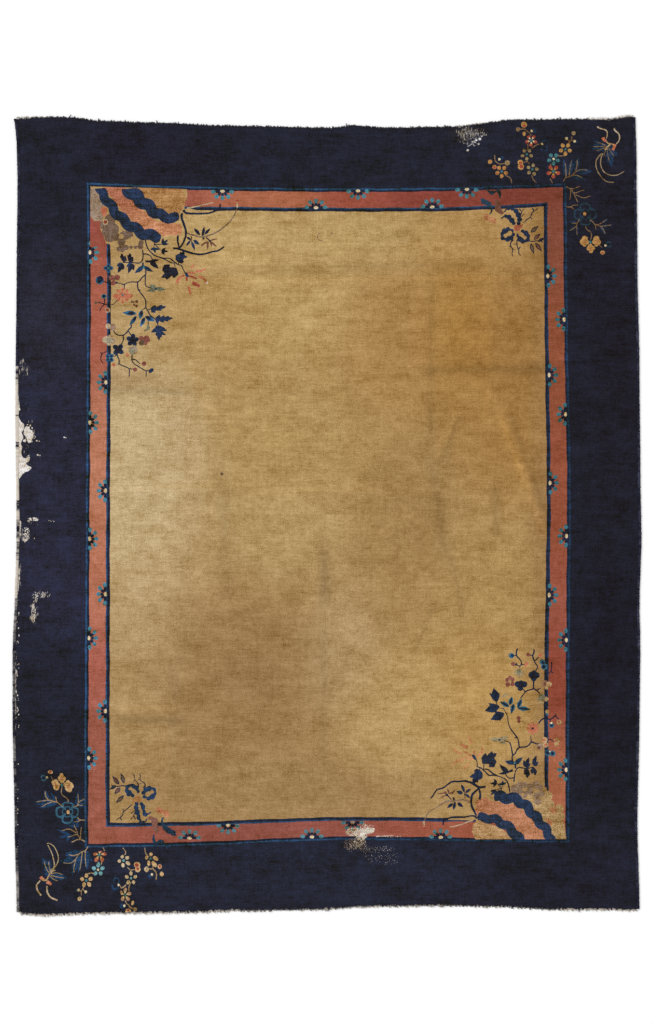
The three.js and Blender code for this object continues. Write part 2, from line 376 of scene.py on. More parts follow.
@dataclass(frozen=True)
class WavedBand:
    """A broad ribbon of rock with rounded waves along both edges, half a wave apart."""

    yarn: Yarn
    widths: tuple[float, float]
    pitch: float
    swell: float
    route: tuple[Point, ...]
    phase: float = 0.25

    def areas(self) -> Areas:
        """Give the band's one area.

        Yields:
            The band's outline and yarn.
        """
        route = smooth_route(self.route)
        waves = sum(math.dist(a, b) for a, b in zip(route, route[1:])) / self.pitch

        def half(share: float, side: int) -> float:
            """Give half the band's width on one side.

            Args:
                share: The place along the band, from 0 to 1.
                side: 1 for the left side, -1 for the right one.

            Returns:
                The distance from the route to the edge.
            """
            plain = self.widths[0] + (self.widths[1] - self.widths[0]) * share
            wave = abs(math.sin(math.pi * (waves * share + self.phase + 0.25 * side)))
            closing = math.sqrt(max(0.0, 1 - max(0.0, (share - 0.9) / 0.1) ** 2))
            return (plain / 2 + self.swell * (wave - 0.6)) * closing

        yield ribbon_outline(route, half), self.yarn


@dataclass(frozen=True)
class Leaf:
    """A leaf from its base to its tip: plain, or with lobes and a drawn-out point."""

    base: Point
    tip: Point
    width: float
    yarn: Yarn
    lobes: int = 0
    heart: Yarn | None = None

    def areas(self) -> Areas:
        """Give the leaf's area and its heart's.

        Yields:
            Each outline with its yarn.
        """
        count = 20 if self.lobes else 8
        route = [self.between(k / count) for k in range(count + 1)]
        yield ribbon_outline(route, self.half), self.yarn
        if self.heart:
            yield from Leaf(self.between(0.14), self.between(0.8), self.width * 0.55, self.heart).areas()

    def between(self, share: float) -> Point:
        """Find a place on the leaf's rib."""
        return (self.base[0] + (self.tip[0] - self.base[0]) * share,
                self.base[1] + (self.tip[1] - self.base[1]) * share)

    def half(self, share: float, side: int) -> float:
        """Give half the leaf's width.

        Args:
            share: The place along the leaf, from 0 to 1.
            side: The side of the rib, which are alike.

        Returns:
            The distance from the rib to the edge.
        """
        if not self.lobes:
            return self.width / 2 * math.sin(math.pi * min(0.98, max(0.03, share)) ** 0.8)
        body = 0.8
        if share > body:
            return self.width * 0.2 * (1 - share) / (1 - body) + 0.1
        tooth = (self.lobes * (share / body) + (0.3 if side > 0 else 0.0)) % 1.0
        return self.width / 2 * (0.38 + 0.7 * tooth ** 0.8) * (1.12 - 0.5 * share)


@dataclass(frozen=True)
class Fan:
    """Plain leaves or fingers that spread from one place to several tips."""

    base: Point
    tips: tuple[Point, ...]
    width: float
    yarn: Yarn

    def areas(self) -> Areas:
        """Give one area for each leaf."""
        for tip in self.tips:
            yield from Leaf(self.base, tip, self.width, self.yarn).areas()


@dataclass(frozen=True)
class Blossom:
    """An open flower with round petals about a small heart."""

    x: float
    y: float
    reach: float
    yarn: Yarn
    heart: Yarn
    petals: int = 5
    turn: float = 90.0
    inner: Yarn | None = None
    plump: float = 0.33
    narrow: float = 0.86
    root: float = 0.42

    def areas(self) -> Areas:
        """Give the petals' areas, then the heart's.

        Yields:
            Each outline with its yarn.
        """
        for k in range(self.petals):
            turn = self.turn + 360 * k / self.petals
            middle = around(self.x, self.y, self.reach * (1 - self.plump), math.radians(turn))
            round_end = self.reach * self.plump
            yield from Dot(*middle, round_end, self.yarn, self.narrow, turn).areas()
            if self.inner:
                root = around(self.x, self.y, self.reach * self.root, math.radians(turn))
                yield from Dot(*root, round_end * 0.6, self.inner, 0.7, turn).areas()
        yield from Dot(self.x, self.y, self.reach * 0.2, self.heart).areas()


@dataclass(frozen=True)
class Lobe:
    """A cloud-shaped petal: a thick scalloped rim about a paler heart."""

    x: float
    y: float
    reach: float
    rim: float
    yarn: Yarn
    heart: Yarn
    bumps: int = 7
    start: float = 0.0
    sweep: float = 300.0

    def areas(self) -> Areas:
        """Give the rim's round bumps, then the heart.

        Yields:
            Each outline with its yarn.
        """
        for k in range(self.bumps):
            share = k / (self.bumps - 1)
            angle = math.radians(self.start + self.sweep * share)
            rim = self.rim * (0.7 + 0.45 * math.sin(math.pi * share))
            yield from Dot(*around(self.x, self.y, self.reach - rim, angle), rim, self.yarn).areas()
        yield from Dot(self.x, self.y, self.reach - 1.9 * self.rim, self.heart).areas()


@dataclass(frozen=True)
class Specks:
    """Single bare knots scattered over a worn place."""

    x: float
    y: float
    reach_x: float
    reach_y: float
    count: int
    yarn: Yarn
    size: float = 0.5
    tall: float = 0.6

    def areas(self) -> Areas:
        """Give one small area for each bare knot.

        Yields:
            Each outline with its yarn.
        """
        rng = random.Random(round(self.x * 31 + self.y))
        for _ in range(self.count):
            angle, out = rng.uniform(0, math.tau), rng.random() ** 0.6
            x = self.x + self.reach_x * out * math.cos(angle)
            y = self.y + self.reach_y * out * math.sin(angle)
            yield from Dot(x, y, self.size * rng.uniform(0.6, 1.5), self.yarn, self.tall, 90).areas()


@dataclass(frozen=True)
class Ruffle:
    """The outline of a flower with four broad petals."""

    x: float
    y: float
    reach: float
    width: float
    yarn: Yarn

    def areas(self) -> Areas:
        """Give the outline's one area.

        Yields:
            The line's outline and yarn.
        """
        route = []
        for k in range(49):
            angle = math.tau * k / 48
            petal = abs(math.cos(2 * angle)) ** 0.55
            reach = self.reach * (0.44 + 0.56 * petal - 0.08 * petal ** 12)
            route.append(around(self.x, self.y, reach, angle))
        yield from Stem(self.width, tuple(route), self.yarn, 1.0).areas()


PETALS = ((0.0, 6.8), (47.0, 8.0), (-47.0, 8.0), (86.0, 9.2), (-86.0, 9.2))


@dataclass(frozen=True)
class HalfFlower:
    """Half a flower with its straight side on a guard line."""

    x: float
    y: float
    facing: float
    yarn: Yarn
    heart: float = 2.3

    def areas(self) -> Areas:
        """Give the dark roots, the petals' round ends and the pale heart.

        Yields:
            Each outline with its yarn.
        """
        for turn, reach in PETALS:
            heading = math.radians(self.facing + turn)
            root, tip = (around(self.x, self.y, out, heading) for out in (1.6, reach))
            yield from Leaf(root, tip, 3.0, Yarn.NAVY).areas()
            yield from Dot(*tip, 2.4, self.yarn, 0.82, self.facing + turn).areas()
        yield from Dot(self.x, self.y, self.heart, Yarn.CREAM, 0.62, self.facing + 90).areas()


Motif = Dot | Patch | Stem | Curl | WavedBand | Leaf | Fan | Blossom | Lobe | Specks | Ruffle | HalfFlower


def dots(yarn: Yarn, *rows: Sequence[float]) -> tuple[Dot, ...]:
    """Make spots of one yarn from rows of x, y and reach, and for an oval its narrowness and turn."""
    return tuple(Dot(x, y, reach, yarn, *oval) for x, y, reach, *oval in rows)


def leaves(yarn: Yarn, *rows: Sequence) -> tuple[Leaf, ...]:
    """Make leaves of one yarn from rows of base, tip and width, and for a lobed leaf its lobes."""
    return tuple(Leaf(base, tip, width, yarn, *lobes) for base, tip, width, *lobes in rows)


def stems(yarn: Yarn, width: float, *routes: tuple[Point, ...]) -> tuple[Stem, ...]:
    """Make stems of one yarn and one width from their routes."""
    return tuple(Stem(width, route, yarn) for route in routes)


HALF_FLOWERS = records(
    HalfFlower,
    (90.2, 252.6, 0, Yarn.SKY), (106, 382.4, 180, Yarn.TEAL), (90, 422.6, 0, Yarn.SKY),
    (105.8, 490.8, 180, Yarn.SKY), (89.6, 538.8, 0, Yarn.SKY), (105.6, 594, 180, Yarn.SKY),
    (89.2, 638, 0, Yarn.SKY), (105.6, 711, 180, Yarn.SKY), (88.8, 758, 0, Yarn.SKY),
    (547.6, 276.2, 0, Yarn.TEAL), (564, 319.6, 180, Yarn.TEAL), (549, 375.2, 0, Yarn.TEAL),
    (565.4, 414.4, 180, Yarn.TEAL), (549.8, 483, 0, Yarn.TEAL), (566.4, 536, 180, Yarn.TEAL),
    (549, 595, 0, Yarn.TEAL), (566.2, 640, 180, Yarn.TEAL), (566, 769.6, 180, Yarn.TEAL),
    (222.5, 191.4, 90, Yarn.TEAL), (316, 208, -90, Yarn.TEAL), (358, 191, 90, Yarn.TEAL),
    (432.2, 207.2, -90, Yarn.TEAL), (466.8, 189.6, 90, Yarn.TEAL), (189.6, 838, -90, Yarn.TEAL),
    (228.2, 825, 90, Yarn.TEAL), (312, 836.8, -90, Yarn.TEAL), (352.6, 822, 90, Yarn.TEAL),
    (440.6, 837.2, -90, Yarn.TEAL),
)

CORNER_GROUND: tuple[Motif, ...] = (
    Patch(Yarn.FIELD, ((90.6, 186.6), (187, 189.6), (187.5, 197), (184.6, 203), (184.6, 211.3), (184, 214),
        (112, 245), (104, 243), (90.6, 221)), rounded=False),
    Patch(Yarn.BAND, ((90.4, 216.8), (94.6, 221.2), (101.4, 221.2), (100.4, 229), (103.6, 236),
        (106, 242.4), (106, 247), (90.2, 247)), rounded=False),
    Patch(Yarn.OCHRE, ((134, 187.6), (182.4, 189.2), (183.6, 192.6), (185.6, 196), (185.4, 203),
        (183.2, 208.6), (180.5, 212), (178.4, 215.5), (150, 212)), rounded=False),
    Patch(Yarn.ASH, ((90.6, 188.6), (95, 188.6), (99, 197), (103.4, 205), (104, 214), (102.4, 221),
        (95.4, 221), (90.6, 216.8)), rounded=False),
    *dots(Yarn.CORAL, (104.2, 210.2, 3.4), (104.4, 213.6, 2.6)),
    *dots(Yarn.CLOUD, (110.4, 219.6, 5.6), (105.4, 225.4, 5.2), (112.6, 229.6, 6.6), (106.6, 232.4, 4.6),
        (109.6, 237.6, 5), (115.4, 236.6, 4.6), (124.8, 235.6, 4.8), (129.4, 233.4, 3.8), (130.6, 236, 3),
        (121.6, 242.4, 4), (122.4, 248.4, 3.8), (118.8, 249.2, 2.4), (126.4, 247.6, 2.6), (131, 247.2, 1.9),
        (135.6, 247.2, 1.8), (140.4, 246.6, 3), (141.2, 242.8, 2.6)),
    *dots(Yarn.FIELD, (121.5, 236.7, 2.4), (133, 242.6, 3.6), (129.2, 243.4, 2.8), (135.6, 243.2, 2.6),
        (132.6, 239, 2.2), (121.4, 229.4, 2.4), (125.4, 229.6, 1.8)),
)

ROCKS: tuple[Motif, ...] = (
    Dot(105.5, 222.2, 3, Yarn.STONE),
    Dot(105.5, 222.2, 1.8, Yarn.RUST),
    Patch(Yarn.SALMON, ((102.4, 187.2), (125.2, 187.8), (131, 197), (138, 207), (147, 213), (157, 222),
        (166, 220.8), (173.4, 223), (180.6, 224.4), (182.6, 229), (181, 234.4), (176.4, 236.2),
        (170.2, 234.8), (164.6, 236.8), (159.4, 234), (146, 231), (134, 223), (122, 211), (112, 197.6)),
        rounded=False),
    WavedBand(Yarn.INDIGO, (9.4, 12), 16.6, 3, ((99.8, 188.5), (100.3, 190.8), (103, 195), (107.6, 200.8),
        (112.8, 208.6), (118.6, 215.4), (124.8, 221.4), (132.6, 227.2), (141, 232.4), (149.6, 235.6),
        (161.4, 237.6)), 0.46),
    WavedBand(Yarn.INDIGO, (14.6, 9.6), 15.6, 3, ((129.8, 188.7), (130.6, 191.2), (135.6, 196.2),
        (142.6, 202.2), (149.6, 207.6), (157, 213.4), (165, 217), (179.6, 218.2)), 0.06),
)

BOUGHS: tuple[Motif, ...] = (
    Stem(1.5, ((187, 233), (190.5, 234.5), (200, 237), (206, 236.5), (215.5, 233), (225, 226.5),
        (231, 220.5), (234.5, 215), (237, 208.6)), Yarn.CLOUD),
    Stem(1.3, ((187, 208.6), (195, 207), (206, 204.4), (213.4, 202.6)), Yarn.STONE),
    Dot(237.4, 206.2, 2, Yarn.STONE, 0.5, 90),
    Dot(237.3, 202.8, 1.5, Yarn.SALMON, 0.6, 90),
    Dot(237.3, 201.2, 1.9, Yarn.RUST, 0.45),
    Patch(Yarn.FIELD, ((184.6, 209.2), (191, 208.8), (196, 210.4), (213, 210.5), (214, 212), (196, 212.8),
        (186.4, 212)), rounded=False),
    Stem(2.3, ((183, 210.4), (185.6, 212.8), (190, 213.7), (205, 213.7), (211, 212.8), (216.6, 210.4),
        (219.8, 207.6), (220.3, 204.2)), Yarn.NAVY),
    Stem(2.5, ((182, 213.3), (181.8, 218), (184, 224.4), (186, 231.5), (185.4, 237.6), (182.8, 244),
        (179.4, 248.4)), Yarn.NAVY),
    *stems(Yarn.NAVY, 2.2, ((178, 235.8), (177.8, 241), (179.2, 248.4)), ((173.2, 248.6), (178, 248.8),
        (182, 250.2), (188, 252.2), (194, 253.8), (200, 254.6), (206, 253.8), (212, 252), (217, 251.2),
        (221, 249.2), (224, 247))),
    *leaves(Yarn.NAVY, ((200, 235.2), (194, 228.2), 3.4), ((202.6, 235.8), (204.4, 226.6), 3.2),
        ((204.8, 234.8), (210.4, 228.2), 2.9)),
    Dot(202.8, 234.9, 1.3, Yarn.INK_BLUE),
    Dot(203.6, 238.7, 1.2, Yarn.NIGHT),
    Stem(1.3, ((206.2, 237.6), (208.4, 239.6), (210.4, 241.2)), Yarn.NAVY),
    Dot(210, 241, 1.4, Yarn.NAVY),
    *leaves(Yarn.INK_BLUE, ((193.4, 240.4), (199.8, 244.8), 3.6), ((191.6, 241.6), (195, 250.8), 2.9),
        ((190.6, 240.8), (186, 246.4), 2.6), ((191, 240.2), (186.4, 236.8), 2.6)),
    Stem(1.1, ((191.4, 240.4), (191.5, 236.2)), Yarn.NIGHT),
    Dot(191.2, 240.6, 0.9, Yarn.BROWN),
    Fan((210.4, 240.4), ((217.4, 239),), 1.7, Yarn.BROWN),
    Fan((210.6, 241.6), ((217.2, 247.4), (211.8, 247)), 2.1, Yarn.BROWN),
    Leaf((208.2, 241.8), (207.4, 250.2), 2.2, Yarn.BROWN),
    Stem(2, ((208, 242.6), (204.6, 243.4), (201.2, 246.2)), Yarn.BROWN),
)

PLANT: tuple[Motif, ...] = (
    *stems(Yarn.NAVY, 1.4, ((145.5, 240.4), (146.8, 246), (148.8, 250), (152.6, 254), (157, 256.6),
        (163.8, 258.3), (169.6, 258.4), (173, 261), (177.4, 264.2), (181.4, 265.8), (183, 269),
        (186.4, 275.4)), ((161, 257.8), (166, 260), (171, 262.8), (174, 263.4)), ((142.6, 250),
        (143.2, 256), (142.4, 260.4), (139.4, 263.2), (133, 262.8), (123, 262.6)),
        ((143, 254.2), (147.4, 254.4), (150.8, 256.4), (152.6, 260))),
    *stems(Yarn.NAVY, 1.1, ((124.9, 263), (124.9, 257.6)), ((174.8, 262.6), (175, 267.4)),
        ((155.2, 242.2), (154.6, 244.6), (153.8, 248)), ((154.8, 244.6), (161.6, 244.6)),
        ((155.4, 245.6), (158.4, 247.8), (161, 250.8)), ((179.6, 259.6), (178.4, 264))),
    *leaves(Yarn.NIGHT, ((125, 261.8), (121.2, 253.6), 6.6, 1), ((130.8, 262.2), (129.8, 253.4), 7.2, 1)),
    Leaf((122.6, 263.4), (116.6, 266.6), 4, Yarn.INK_BLUE),
    Leaf((122.4, 264.2), (118.2, 273), 4.4, Yarn.NAVY),
    Leaf((122.6, 263.8), (123.2, 270.6), 3.8, Yarn.NIGHT),
    Leaf((132.2, 264), (126.2, 266.8), 4, Yarn.INK_BLUE),
    Leaf((131.8, 264), (128.6, 273.4), 4.4, Yarn.NAVY),
    Leaf((132.2, 263.8), (133.9, 270.8), 4, Yarn.NIGHT),
    Stem(2.2, ((145.4, 261.4), (149, 261.6), (153, 261)), Yarn.NIGHT, 1),
    *leaves(Yarn.NIGHT, ((149.6, 260.6), (158.8, 268.8), 5), ((150, 261.4), (159.6, 260), 3)),
    Stem(1.9, ((142.9, 262.6), (143, 267.4)), Yarn.DEEP_BLUE, 1),
    *leaves(Yarn.DEEP_BLUE, ((144.6, 266), (134.8, 273.4), 4.6), ((142.6, 266.4), (153.4, 271.9), 3.9)),
    Dot(143.7, 267.6, 1.2, Yarn.TEAL),
    *leaves(Yarn.NIGHT, ((178, 271.6), (161.2, 277.6), 10.6, 2), ((163.4, 267), (177.6, 272.6), 9.8, 2)),
    Dot(168.8, 271.4, 5, Yarn.NIGHT, 0.86),
    Leaf((178.8, 262.6), (184.4, 250.6), 8.8, Yarn.NAVY, 2),
    Leaf((175.6, 257.6), (187.6, 256.8), 7.8, Yarn.INK_BLUE, 2),
    Dot(163.6, 243.2, 2.3, Yarn.INK_BLUE),
    Fan((162.4, 244.4), ((163.4, 237.8), (168.6, 239.6), (169.2, 244.2)), 2.5, Yarn.INK_BLUE),
    Dot(154.6, 249.4, 1.9, Yarn.DEEP_BLUE),
    Fan((154.6, 248.2), ((150.2, 250.2), (155.2, 253.4), (159.6, 250.2)), 2.5, Yarn.DEEP_BLUE),
    Dot(163.4, 251.4, 2.2, Yarn.NIGHT),
    Fan((161.4, 251.4), ((166.2, 247.8), (168.9, 251.6), (164.8, 255.2)), 2.4, Yarn.NIGHT),
    Dot(187, 275, 2.9, Yarn.DEEP_BLUE, 0.55, 62),
    *stems(Yarn.NAVY, 1.35, ((145.9, 270), (145.8, 274.6), (142.8, 277), (140.2, 280.4), (137.4, 282.2),
        (131, 282.2), (127, 283.2), (124.4, 284.6), (120, 283.6), (116, 282.8)),
        ((145.6, 275), (145.4, 284.2), (147.4, 287), (151.6, 287.8)), ((137.8, 282), (137.8, 287.4),
        (139, 290.6), (141.4, 294), (144.4, 298), (146, 302.4), (145.8, 307.6), (148, 311), (150.4, 315.4),
        (156, 320), (157.6, 323.6), (158.8, 328))),
    *stems(Yarn.NAVY, 1.2, ((124.5, 284.4), (124.5, 289)), ((138.6, 290.2), (141.2, 290.2))),
    Dot(116.4, 282.9, 1.8, Yarn.INK_BLUE, 0.6),
    *leaves(Yarn.MOSS, ((156.8, 289.2), (149.6, 284.6), 4.4), ((157.6, 288.8), (146.6, 291.4), 4.2),
        ((155.4, 288.6), (166.2, 289.8), 4.4)),
    Dot(156, 288.8, 1.4, Yarn.INK_BLUE, 0.7),
)

LOOSE_FLOWER: tuple[Motif, ...] = (
    Stem(3.2, ((177, 283.6), (178.3, 279.6), (181.5, 277), (184.6, 275.4)), Yarn.CORAL),
    Stem(2.5, ((186.7, 277.4), (186.8, 281.2)), Yarn.RUST),
    Stem(2.6, ((187.6, 273.5), (191.5, 272.8), (195.2, 274.2)), Yarn.CORAL),
    Stem(2.2, ((189.3, 276.2), (193.5, 277.4), (196.6, 279.2)), Yarn.RUST),
    Stem(3.8, ((192.2, 283), (195.6, 284.2), (199.8, 286.6)), Yarn.RUST),
    Stem(2.8, ((196, 271.2), (200.8, 271.2), (205.4, 269.2)), Yarn.CORAL, 0.5),
    Stem(1.8, ((191.4, 268.4), (193, 266.4), (194.6, 264.6)), Yarn.CORAL),
    Stem(2.4, ((198.4, 276.6), (202.6, 278.2), (205.2, 280.4), (206.2, 283)), Yarn.CORAL),
    Stem(2.8, ((188.4, 287), (190, 291), (190.6, 294.6)), Yarn.CORAL),
)

TWIGS: tuple[Motif, ...] = (
    Blossom(122.7, 295.6, 8, Yarn.CORAL, Yarn.CORAL, 8, 90, plump=0.27),
    *dots(Yarn.CORAL, (117, 296.4, 4.4, 0.56, 6), (128.4, 296.2, 4.6, 0.56, -6), (122.8, 295.6, 3.4)),
    Dot(122.8, 295.3, 1.1, Yarn.TEAL),
    *stems(Yarn.NAVY, 1.1, ((145.6, 308), (143, 309.6), (141.8, 312)), ((148, 309.4), (154, 309.6)),
        ((148.4, 320.4), (148.4, 325.2))),
    Leaf((136.4, 313.6), (122.6, 312.8), 4.9, Yarn.STEEL),
    Leaf((134.8, 313.2), (127.6, 313.6), 3.4, Yarn.NIGHT),
    Leaf((141.8, 310.4), (140, 319.6), 4.8, Yarn.STEEL),
    Leaf((141.8, 310.8), (141, 316.4), 3.2, Yarn.NIGHT),
    Leaf((136.6, 316.2), (129.6, 325.8), 4, Yarn.STEEL),
    Leaf((136.4, 316.6), (132.4, 322.4), 2.9, Yarn.NAVY),
    Leaf((144.8, 317.6), (140.4, 327.2), 4, Yarn.STEEL),
    Leaf((144.6, 318), (141.8, 323.4), 2.9, Yarn.NAVY),
    Leaf((145.6, 316.6), (155, 321.4), 4.8, Yarn.STEEL),
    Leaf((145.8, 316.8), (151.6, 319.8), 3.3, Yarn.NAVY),
    *leaves(Yarn.INK_BLUE, ((151, 309.8), (166.2, 306.8), 7.8, 2), ((155.6, 319.4), (173.2, 318.4), 8, 3),
        ((159.2, 325.8), (159, 340.6), 8.6, 2), ((162.6, 327), (150.8, 332.6), 5.4),
        ((156, 327), (167.4, 331), 5.2), ((157, 330.6), (166.2, 335.4), 3.6)),
    Dot(148.4, 327.8, 2.4, Yarn.MOSS, 0.8, 90),
    Leaf((149, 329), (143.4, 331.2), 2, Yarn.MOSS),
    Stem(1.5, ((131.6, 325), (131.4, 327.2), (129, 329.5), (127.4, 332), (125, 334.2), (123, 335.4),
        (119, 335.4), (116.4, 334.4), (114.4, 332.2), (113.2, 329.6)), Yarn.NAVY),
    *stems(Yarn.NAVY, 1.3, ((123.2, 335.5), (123.7, 338.6), (122.6, 342.4), (120.8, 345.2)),
        ((128.4, 331.4), (130.5, 334), (132.4, 336.6)), ((117.4, 354), (117.8, 357), (119.3, 359.8),
        (119.6, 364), (124, 366.2), (129, 368.6), (129.5, 372), (129.2, 377)), ((132.3, 354.4),
        (132.2, 360.8), (134.4, 364), (138.6, 366.6), (144, 370), (146.2, 371.2), (146.2, 377)),
        ((132.8, 359.4), (136, 360), (138.2, 362.2), (140.4, 364))),
    *stems(Yarn.NAVY, 1, ((129.8, 368.8), (133.8, 369.2)), ((146, 370.8), (149.6, 370.8)),
        ((117.2, 355), (114.2, 356.8)), ((119.4, 364.2), (117, 364.2))),
    Dot(112.8, 327.3, 3.4, Yarn.MAUVE),
    *dots(Yarn.STONE, (108.2, 326.3, 2.6), (105.8, 340, 3.4), (110.4, 337.4, 2.6)),
    Dot(112.8, 341.2, 2.8, Yarn.ASH),
    *records(Blossom, (109, 340.8, 5.2, Yarn.STONE, Yarn.SAGE, 5, 90, Yarn.SAGE, 0.42), (132.8, 340.4, 6.6,
        Yarn.INK_BLUE, Yarn.STEEL, 5, 60, Yarn.NIGHT, 0.42)),
    Dot(133, 341, 3, Yarn.NIGHT, 0.8),
    *dots(Yarn.WINE, (141.4, 338.6, 2.6), (146.8, 338.4, 2.9), (148.2, 340.4, 2.2), (145.4, 343, 2.4),
        (143.6, 340.6, 2.4)),
    Dot(141.8, 342.8, 3, Yarn.UMBER),
    Blossom(118.4, 349.6, 6.4, Yarn.INK_BLUE, Yarn.STEEL, 4, 40, Yarn.NIGHT, 0.46),
    Dot(118.8, 350.2, 3.4, Yarn.NIGHT),
    *dots(Yarn.DUN, (133.2, 350.4, 4.4), (134.4, 347.8, 2.4)),
    Dot(132.2, 350.8, 2.6, Yarn.SAGE),
    *dots(Yarn.WINE, (144.1, 363.8, 2.4), (135.2, 369.7, 2.2)),
    Dot(151.2, 370.7, 3, Yarn.INK_BLUE, 0.66, -40),
    *dots(Yarn.CORAL, (127.3, 354.9, 1.8), (113.8, 365, 1.9)),
    *dots(Yarn.BROWN, (132, 301.8, 1.3), (133.8, 302.4, 1), (136.9, 301.6, 1.6), (134.4, 305, 1.2),
        (136.6, 306.2, 1.4)),
)

BAND_SPRIGS: tuple[Motif, ...] = (
    Blossom(108.5, 268.3, 5, Yarn.STEEL, Yarn.SKY, 4, 0, Yarn.NAVY, 0.48),
    *stems(Yarn.NAVY, 1.1, ((103.6, 281.8), (107, 282.6), (111, 282.8)), ((98, 302.2), (102.5, 303.6),
        (107, 304.8), (113, 304.8), (115.2, 302.8), (117.8, 300)),
        ((104.6, 298.6), (104.5, 304.2), (101.6, 307.5), (100, 311.6)),
        ((100.5, 352.5), (102.6, 353.4), (107, 351.3)),
        ((102.4, 353.6), (101, 357), (101.4, 361), (103.6, 364))),
    *dots(Yarn.WINE, (111.6, 277.9, 2.9), (117.2, 277.6, 3), (113.4, 283.4, 2.4), (113.8, 280.6, 1.6)),
    *dots(Yarn.UMBER, (114.8, 279.2, 1.3), (110.6, 276.4, 1.2)),
    Dot(104.1, 296.5, 2.9, Yarn.TEAL, 0.86),
    Dot(104.1, 296.3, 1.8, Yarn.NAVY),
    Dot(96, 303, 1.6, Yarn.UMBER),
    Dot(107.8, 310.2, 2.7, Yarn.STONE),
    Dot(107.6, 310.2, 1.7, Yarn.RUST),
    Blossom(109.8, 358, 5, Yarn.STEEL, Yarn.SKY, 4, 45, Yarn.NAVY, 0.48),
)

NEAR_SPRAY: tuple[Motif, ...] = (
    *stems(Yarn.STEM_GOLD, 1.1, ((494.6, 155.4), (494.8, 160), (497, 163), (499.6, 164.6), (500.4, 168)),
        ((505, 175.6), (508.6, 177), (511, 180), (511.6, 183.6)), ((499.4, 164.5), (504.6, 163.8))),
    Blossom(501.5, 171.8, 6.6, Yarn.GOLD, Yarn.TEAL),
    Dot(490, 162, 2.2, Yarn.GOLD),
    Dot(507.2, 163.2, 2.7, Yarn.OLIVE),
    Dot(507.2, 163.4, 1.3, Yarn.STEM_GOLD),
    Dot(494.3, 167.3, 2.1, Yarn.GOLD),
    Dot(494.4, 167.6, 1.4, Yarn.RUST),
    Dot(501.9, 157.9, 2, Yarn.DEEP_BLUE, 0.8, 60),
    Dot(499.2, 159.6, 1.3, Yarn.CREAM),
)

TALL_SPRAY: tuple[Motif, ...] = (
    *stems(Yarn.STEM_GOLD, 1.1, ((531.6, 175.4), (532.4, 178.6), (534, 180.6), (536.2, 183.2)),
        ((527.4, 144.4), (527.8, 147.6), (526.8, 151)), ((526.8, 159.4), (527, 161.6), (529.4, 164)),
        ((517.6, 129.6), (524.6, 129.6), (527.4, 132), (529.4, 132.8), (531, 136)),
        ((531.2, 149), (534.8, 146.2), (538, 144.5), (541.6, 144.4)), ((526.4, 162), (523.4, 162.6))),
    Blossom(532.2, 169.8, 6.4, Yarn.OLIVE, Yarn.DIM_TEAL, 5, -78, plump=0.31),
    Blossom(526.7, 154.6, 6.4, Yarn.OLIVE, Yarn.DIM_TEAL, 5, 90, plump=0.3),
    Blossom(531, 140.8, 6.2, Yarn.RUST, Yarn.TEAL, 5, 90, Yarn.CREAM),
    *dots(Yarn.GOLD, (520.2, 162.8, 2.8), (520.8, 167, 3.1)),
    *dots(Yarn.RUST, (520.4, 163.4, 1.5), (521.2, 166.8, 1.9)),
    Dot(523.9, 124.9, 3, Yarn.GOLD),
    Dot(524, 126, 1.7, Yarn.RUST, 0.8),
    Dot(517.8, 129.6, 2.1, Yarn.STEM_GOLD),
    Dot(524, 134, 2.3, Yarn.GOLD, 0.66, 90),
    Dot(534.2, 130.8, 2.4, Yarn.DEEP_BLUE),
    Dot(531.6, 131.2, 1.3, Yarn.CREAM),
    Stem(1.9, ((541.8, 142.2), (544.6, 140.4), (547.6, 141.4), (548.4, 144.6)), Yarn.DEEP_BLUE),
    Stem(1.6, ((542.8, 145.8), (541.4, 149), (543.6, 151.4), (546.4, 150.2), (546.8, 146.4)),
        Yarn.DEEP_BLUE),
    Dot(541.9, 144.3, 1.2, Yarn.CREAM),
)

CORNER_SPRAY: tuple[Motif, ...] = (
    *stems(Yarn.STEM_GOLD, 1.1, ((550.2, 179), (551, 181), (552.6, 183.4)), ((550.6, 167.4), (550.4, 164)),
        ((557.4, 155.6), (560.6, 156.3), (565.2, 155.6)), ((568.2, 143.6), (571.2, 140.2), (571.4, 136.6)),
        ((571.2, 140.3), (574, 140.8)), ((569.6, 141.8), (567.2, 139.8))),
    *records(Blossom, (553.2, 171.8, 7, Yarn.RUST, Yarn.TEAL, 5, 90, Yarn.GOLD),
        (553.4, 159.2, 6.6, Yarn.DIM_TEAL, Yarn.CREAM), (565.2, 149.4, 6.8, Yarn.GOLD, Yarn.TEAL)),
    Dot(573.4, 133.5, 2.1, Yarn.OLIVE),
    Dot(566.3, 138.9, 1.5, Yarn.CREAM),
    Dot(576.2, 141.7, 1.6, Yarn.DEEP_BLUE),
    Dot(574.4, 141.4, 1.4, Yarn.CREAM),
)

